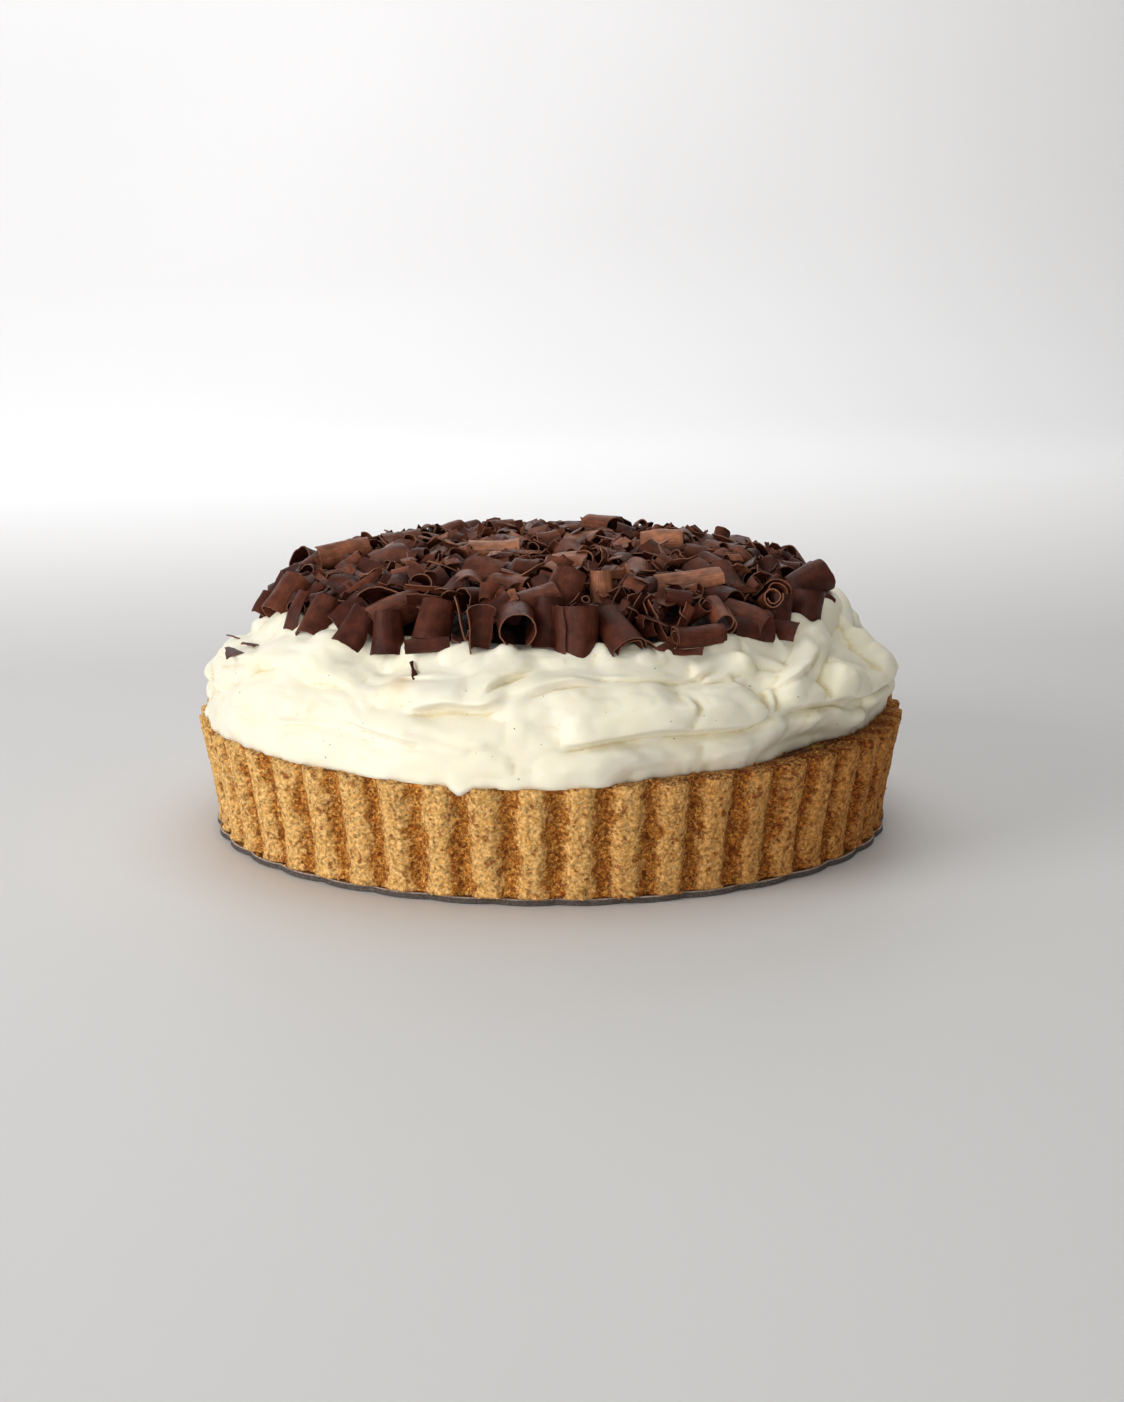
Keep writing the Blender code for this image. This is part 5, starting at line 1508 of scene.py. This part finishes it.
def lowest_rest(shape, tilt, pile, rng, tries, keep_clear, room_on_top):
    """Where the curl comes to lie lowest under the heap's upper limit, of a few tries."""
    best = None
    for _ in range(tries):
        spot, matrix = random_spot(rng, tilt)
        points = sampled(shape, matrix, 12)
        drop = pile.gap(points, 0.12)
        points[:, 2] -= drop
        reach = np.hypot(points[:, 0], points[:, 1])
        top = lookup(ENVELOPE, reach) + 1.3 * noise.noise((spot[0] * 0.06, spot[1] * 0.06, 3.0))
        over = points[:, 2] - top
        if over.max() > HEAP_OVER or reach.max() > HEAP_REACH or pile.covered(points) > keep_clear:
            continue
        if room_on_top and pile.over_ceiling(points) > 0.8:
            continue
        if best is None or over.mean() < best[0]:
            lowered = Matrix.Translation((0.0, 0.0, -drop)) @ matrix
            best = (over.mean(), lowered, points[:, 2].mean())
    return best


def lay_heap(curls, pile, kinds, rng, steps, tries, keep_clear, room_on_top=False):
    """Lets curls down all over the heap; the higher one comes to lie, the lighter its tone: partly
    bloom, partly painted light on top of the heap and painted shade deep in it.
    """
    for count, lengths, radii, sweeps, tones, tilt in kinds:
        for _ in range(count):
            shape = random_shape(rng, lengths, radii, sweeps)
            best = lowest_rest(shape, tilt, pile, rng, tries, keep_clear, room_on_top)
            if best is None:
                continue
            _, matrix, level = best
            # tone rises with height: painted shade deep in the heap, painted light on top, partly
            # bloom
            tone = rng.uniform(*tones) * (0.12 + 0.73 * float(rising(level, 79.0, 89.0)))
            curls.add_sheet(shape, matrix, tone, sheet_steps(shape, *steps))
            pile.stamp(sampled(shape, matrix, 24))


def mound_rise():
    """Radius of the plain cream mound and the way up to it, both rising radii."""
    ups = np.linspace(30.0, 150.0, 240)
    radius = cream_profile(ups)[0]
    order = np.argsort(radius)
    return radius[order], ups[order]


def make_core(finish):
    """Low dome of packed shavings that closes the heap between the curls; its near-black finish is
    painted shade.
    """
    def place(azimuth, row):
        share = row / CORE_ROWS
        upper = share > 0.5
        radius = np.where(upper, (1.0 - share) * 2.0, share * 2.0) * CORE_PROFILE[-1][0]
        spot = round_points(azimuth, radius, 0.0)
        radius = radius * (1.0 + 0.02 * grain(round_points(azimuth, 2.2, 4.0), 1.0))
        top = lookup(CORE_PROFILE, radius) + 1.4 * grain(spot, 0.12) + 0.9 * grain(spot, 0.4, 2.0)
        under = cream_profile(np.interp(radius, *mound_rise()))[1] - 0.5
        return round_points(azimuth, radius, np.where(upper, np.maximum(top, under + 0.6), under))

    def marks(points, azimuth, row):
        return {"tone": np.zeros(len(points))}

    bm = round_skin(CORE_COLUMNS, CORE_ROWS, place, marks)
    bm.loops.layers.uv.new("sheet")
    return piece(bm, "heap_core", [finish], "chocolate_curls", rounded=False)


def on_cream(azimuth, up, folds):
    """Spot on the folded cream, in mm."""
    spot = cream_spot(np.array([azimuth]), np.array([up]), folds)
    return Vector(round_points(*spot)[0])


def lying_on_cream(azimuth, up, turn, folds):
    """Matrix of a sheet that lies flat on the cream, turned on it."""
    here = on_cream(azimuth, up, folds)
    along = (on_cream(azimuth + 1.5, up, folds) - here).normalized()
    upward = (on_cream(azimuth, up + 2.0, folds) - here).normalized()
    normal = along.cross(upward).normalized()
    x_axis = Matrix.Rotation(math.radians(turn), 3, normal) @ along
    axes = Matrix((x_axis, normal.cross(x_axis), normal)).transposed().to_4x4()
    return Matrix.Translation(here + normal * 1.0) @ axes


def make_strays(finishes, folds):
    """A few shavings that fell on the cream."""
    curls = Curls()
    radius = 9.0
    for number, (azimuth, up, length, width, turn, taper) in enumerate(STRAYS):
        shape = {"length": length, "radius": radius, "sweep": math.degrees(width / radius),
                 "flare": 0.9, "seed": 4.0 + number, "torn": 0.4, "dent": 0.2, "twist": 0.1,
                 "bow": 0.05, "taper": taper}
        curls.add_sheet(shape, lying_on_cream(azimuth, up, turn, folds), 0.06, (6, 5))
    curls.finish("stray_shavings", finishes, SHEET_THICKNESS, "cream")


def make_heap(finishes, core_shade_finish, cream):
    """The heap in its order: core, shaped curls all round, loose ones, top ones, shards, chips."""
    rng = random.Random(23)
    core = make_core(core_shade_finish)
    pile = Pile((tree_of(cream), tree_of(core)))
    keep_room_for_top(pile)
    shaped = Curls()
    lay_known_curls(shaped, pile, FRONT_CURLS, sunk=FRONT_SUNK)
    back = Curls()
    lay_known_curls(back, pile, FRONT_CURLS, turn=180.0, sunk=FRONT_SUNK)
    back.finish("back_curls", finishes, SHEET_THICKNESS)
    loose = Curls()
    lay_heap(loose, pile, CURL_KINDS, rng, CURL_STEPS, 9, 0.25, room_on_top=True)
    loose.finish("loose_curls", finishes, SHEET_THICKNESS)
    lay_known_curls(shaped, pile, TOP_CURLS, most_drop=1.5)
    shaped.finish("shaped_curls", finishes, SHEET_THICKNESS)
    shards = Curls()
    lay_heap(shards, pile, SHARD_KINDS, rng, SHARD_STEPS, 6, 0.35)
    shards.finish("shards", finishes, SHEET_THICKNESS * 0.85)
    chips = Curls()
    lay_heap(chips, pile, CHIP_KINDS, rng, CHIP_STEPS, 4, 0.6)
    chips.finish("chips", finishes, SHEET_THICKNESS * 0.8)


# ---------------------------------------------------------------- studio
PIE_MIDDLE = (0.0, 0.0, 0.05)
# place and aim in metres, size, power and colour
LIGHTS = {
    "window": ((-1.09, -0.66, 0.50), PIE_MIDDLE, (0.7, 0.7), 10.3, (1.0, 0.99, 0.97)),
    "ceiling": ((0.15, 0.1, 1.5), PIE_MIDDLE, (1.4, 1.4), 8.2, (1.0, 0.98, 0.91)),
    "front_fill": ((-0.35, -1.45, 0.10), PIE_MIDDLE, (1.2, 0.3), 8.2, (1.0, 0.965, 0.88)),
    "sky_behind": ((-0.3, 1.25, 1.0), PIE_MIDDLE, (1.6, 0.9), 4.0, (0.985, 0.99, 1.0)),
    "backdrop_glow": ((-0.6, 0.7, 1.3), (-0.9, 2.4, 0.6), (2.2, 0.6), 36.0, (1.0, 0.99, 0.975)),
}
ROOM_COLOUR = (1.0, 0.985, 0.94, 1.0)
ROOM_STRENGTH = 0.20


def make_floor(finish):
    """Pale floor that sweeps up into a backdrop."""
    bm = bmesh.new()
    profile = [(-5.0, 0.0), (1.4, 0.0)]
    profile += [(1.4 + math.sin(a), 1.0 - math.cos(a)) for a in np.linspace(0.1, math.pi / 2, 12)]
    profile += [(2.4, 3.2)]
    verts = [bm.verts.new((-3.0, y, z)) for y, z in profile]
    edges = [bm.edges.new(pair) for pair in zip(verts, verts[1:])]
    swept = bmesh.ops.extrude_edge_only(bm, edges=edges)
    moved = [g for g in swept["geom"] if isinstance(g, bmesh.types.BMVert)]
    bmesh.ops.translate(bm, verts=moved, vec=(6.0, 0.0, 0.0))
    bmesh.ops.recalc_face_normals(bm, faces=bm.faces)
    for face in bm.faces:
        face.smooth = True
    mesh = bpy.data.meshes.new("floor")
    bm.to_mesh(mesh)
    bm.free()
    mesh.materials.append(finish)
    floor = into_scene("floor", mesh)


def area_light(name, place, aim, size, power, colour):
    """Rectangular light that points at its aim."""
    data = bpy.data.lights.new(name, "AREA")
    data.shape = "RECTANGLE"
    data.size, data.size_y = size
    data.energy = power
    data.color = colour
    lamp = into_scene(name, data)
    lamp.location = place
    lamp.rotation_euler = (Vector(aim) - Vector(place)).to_track_quat("-Z", "Y").to_euler()


def light_studio():
    """Window light from the left, soft light from above, front and behind, and a dim room."""
    for name, (place, aim, size, power, colour) in LIGHTS.items():
        area_light(name, place, aim, size, power, colour)
    world = bpy.data.worlds.new("room")
    world.use_nodes = True
    room = world.node_tree.nodes["Background"]
    room.inputs["Color"].default_value = ROOM_COLOUR
    room.inputs["Strength"].default_value = ROOM_STRENGTH
    bpy.context.scene.world = world
    bpy.context.scene.view_settings.view_transform = "Standard"


def set_camera():
    """Camera as in the photo: in front of the pie and a little above it."""
    data = bpy.data.cameras.new("camera")
    data.sensor_width = SENSOR
    data.lens = SENSOR * FOCAL_PIXELS / PHOTO_HEIGHT
    camera = into_scene("camera", data)
    camera.location = CAMERA_PLACE
    camera.rotation_euler = (math.radians(90.0 - CAMERA_DOWN), 0.0, math.radians(CAMERA_TURN))
    bpy.context.scene.camera = camera


def main():
    """The studio, then the pie from its card up."""
    set_camera()
    light_studio()
    make_floor(floor_finish())
    make_card(card_finishes())
    make_crust(crumb_finish("crumb_crust", loose=False))
    grains = crumb_finish("crumb_grain", loose=True)
    make_grains(grains)
    make_crumbs(grains)
    make_caramel(caramel_finish())
    cream, folds = make_cream(cream_finish())
    chocolate = (chocolate_finish("chocolate", *CHOCOLATE),
                 chocolate_finish("chocolate_rim_highlight", *CHOCOLATE, lit_rim=True))
    make_heap(chocolate, chocolate_finish("painted_shade_core", *CORE_SHADE_CHOCOLATE), cream)
    make_strays(chocolate, folds)


main()
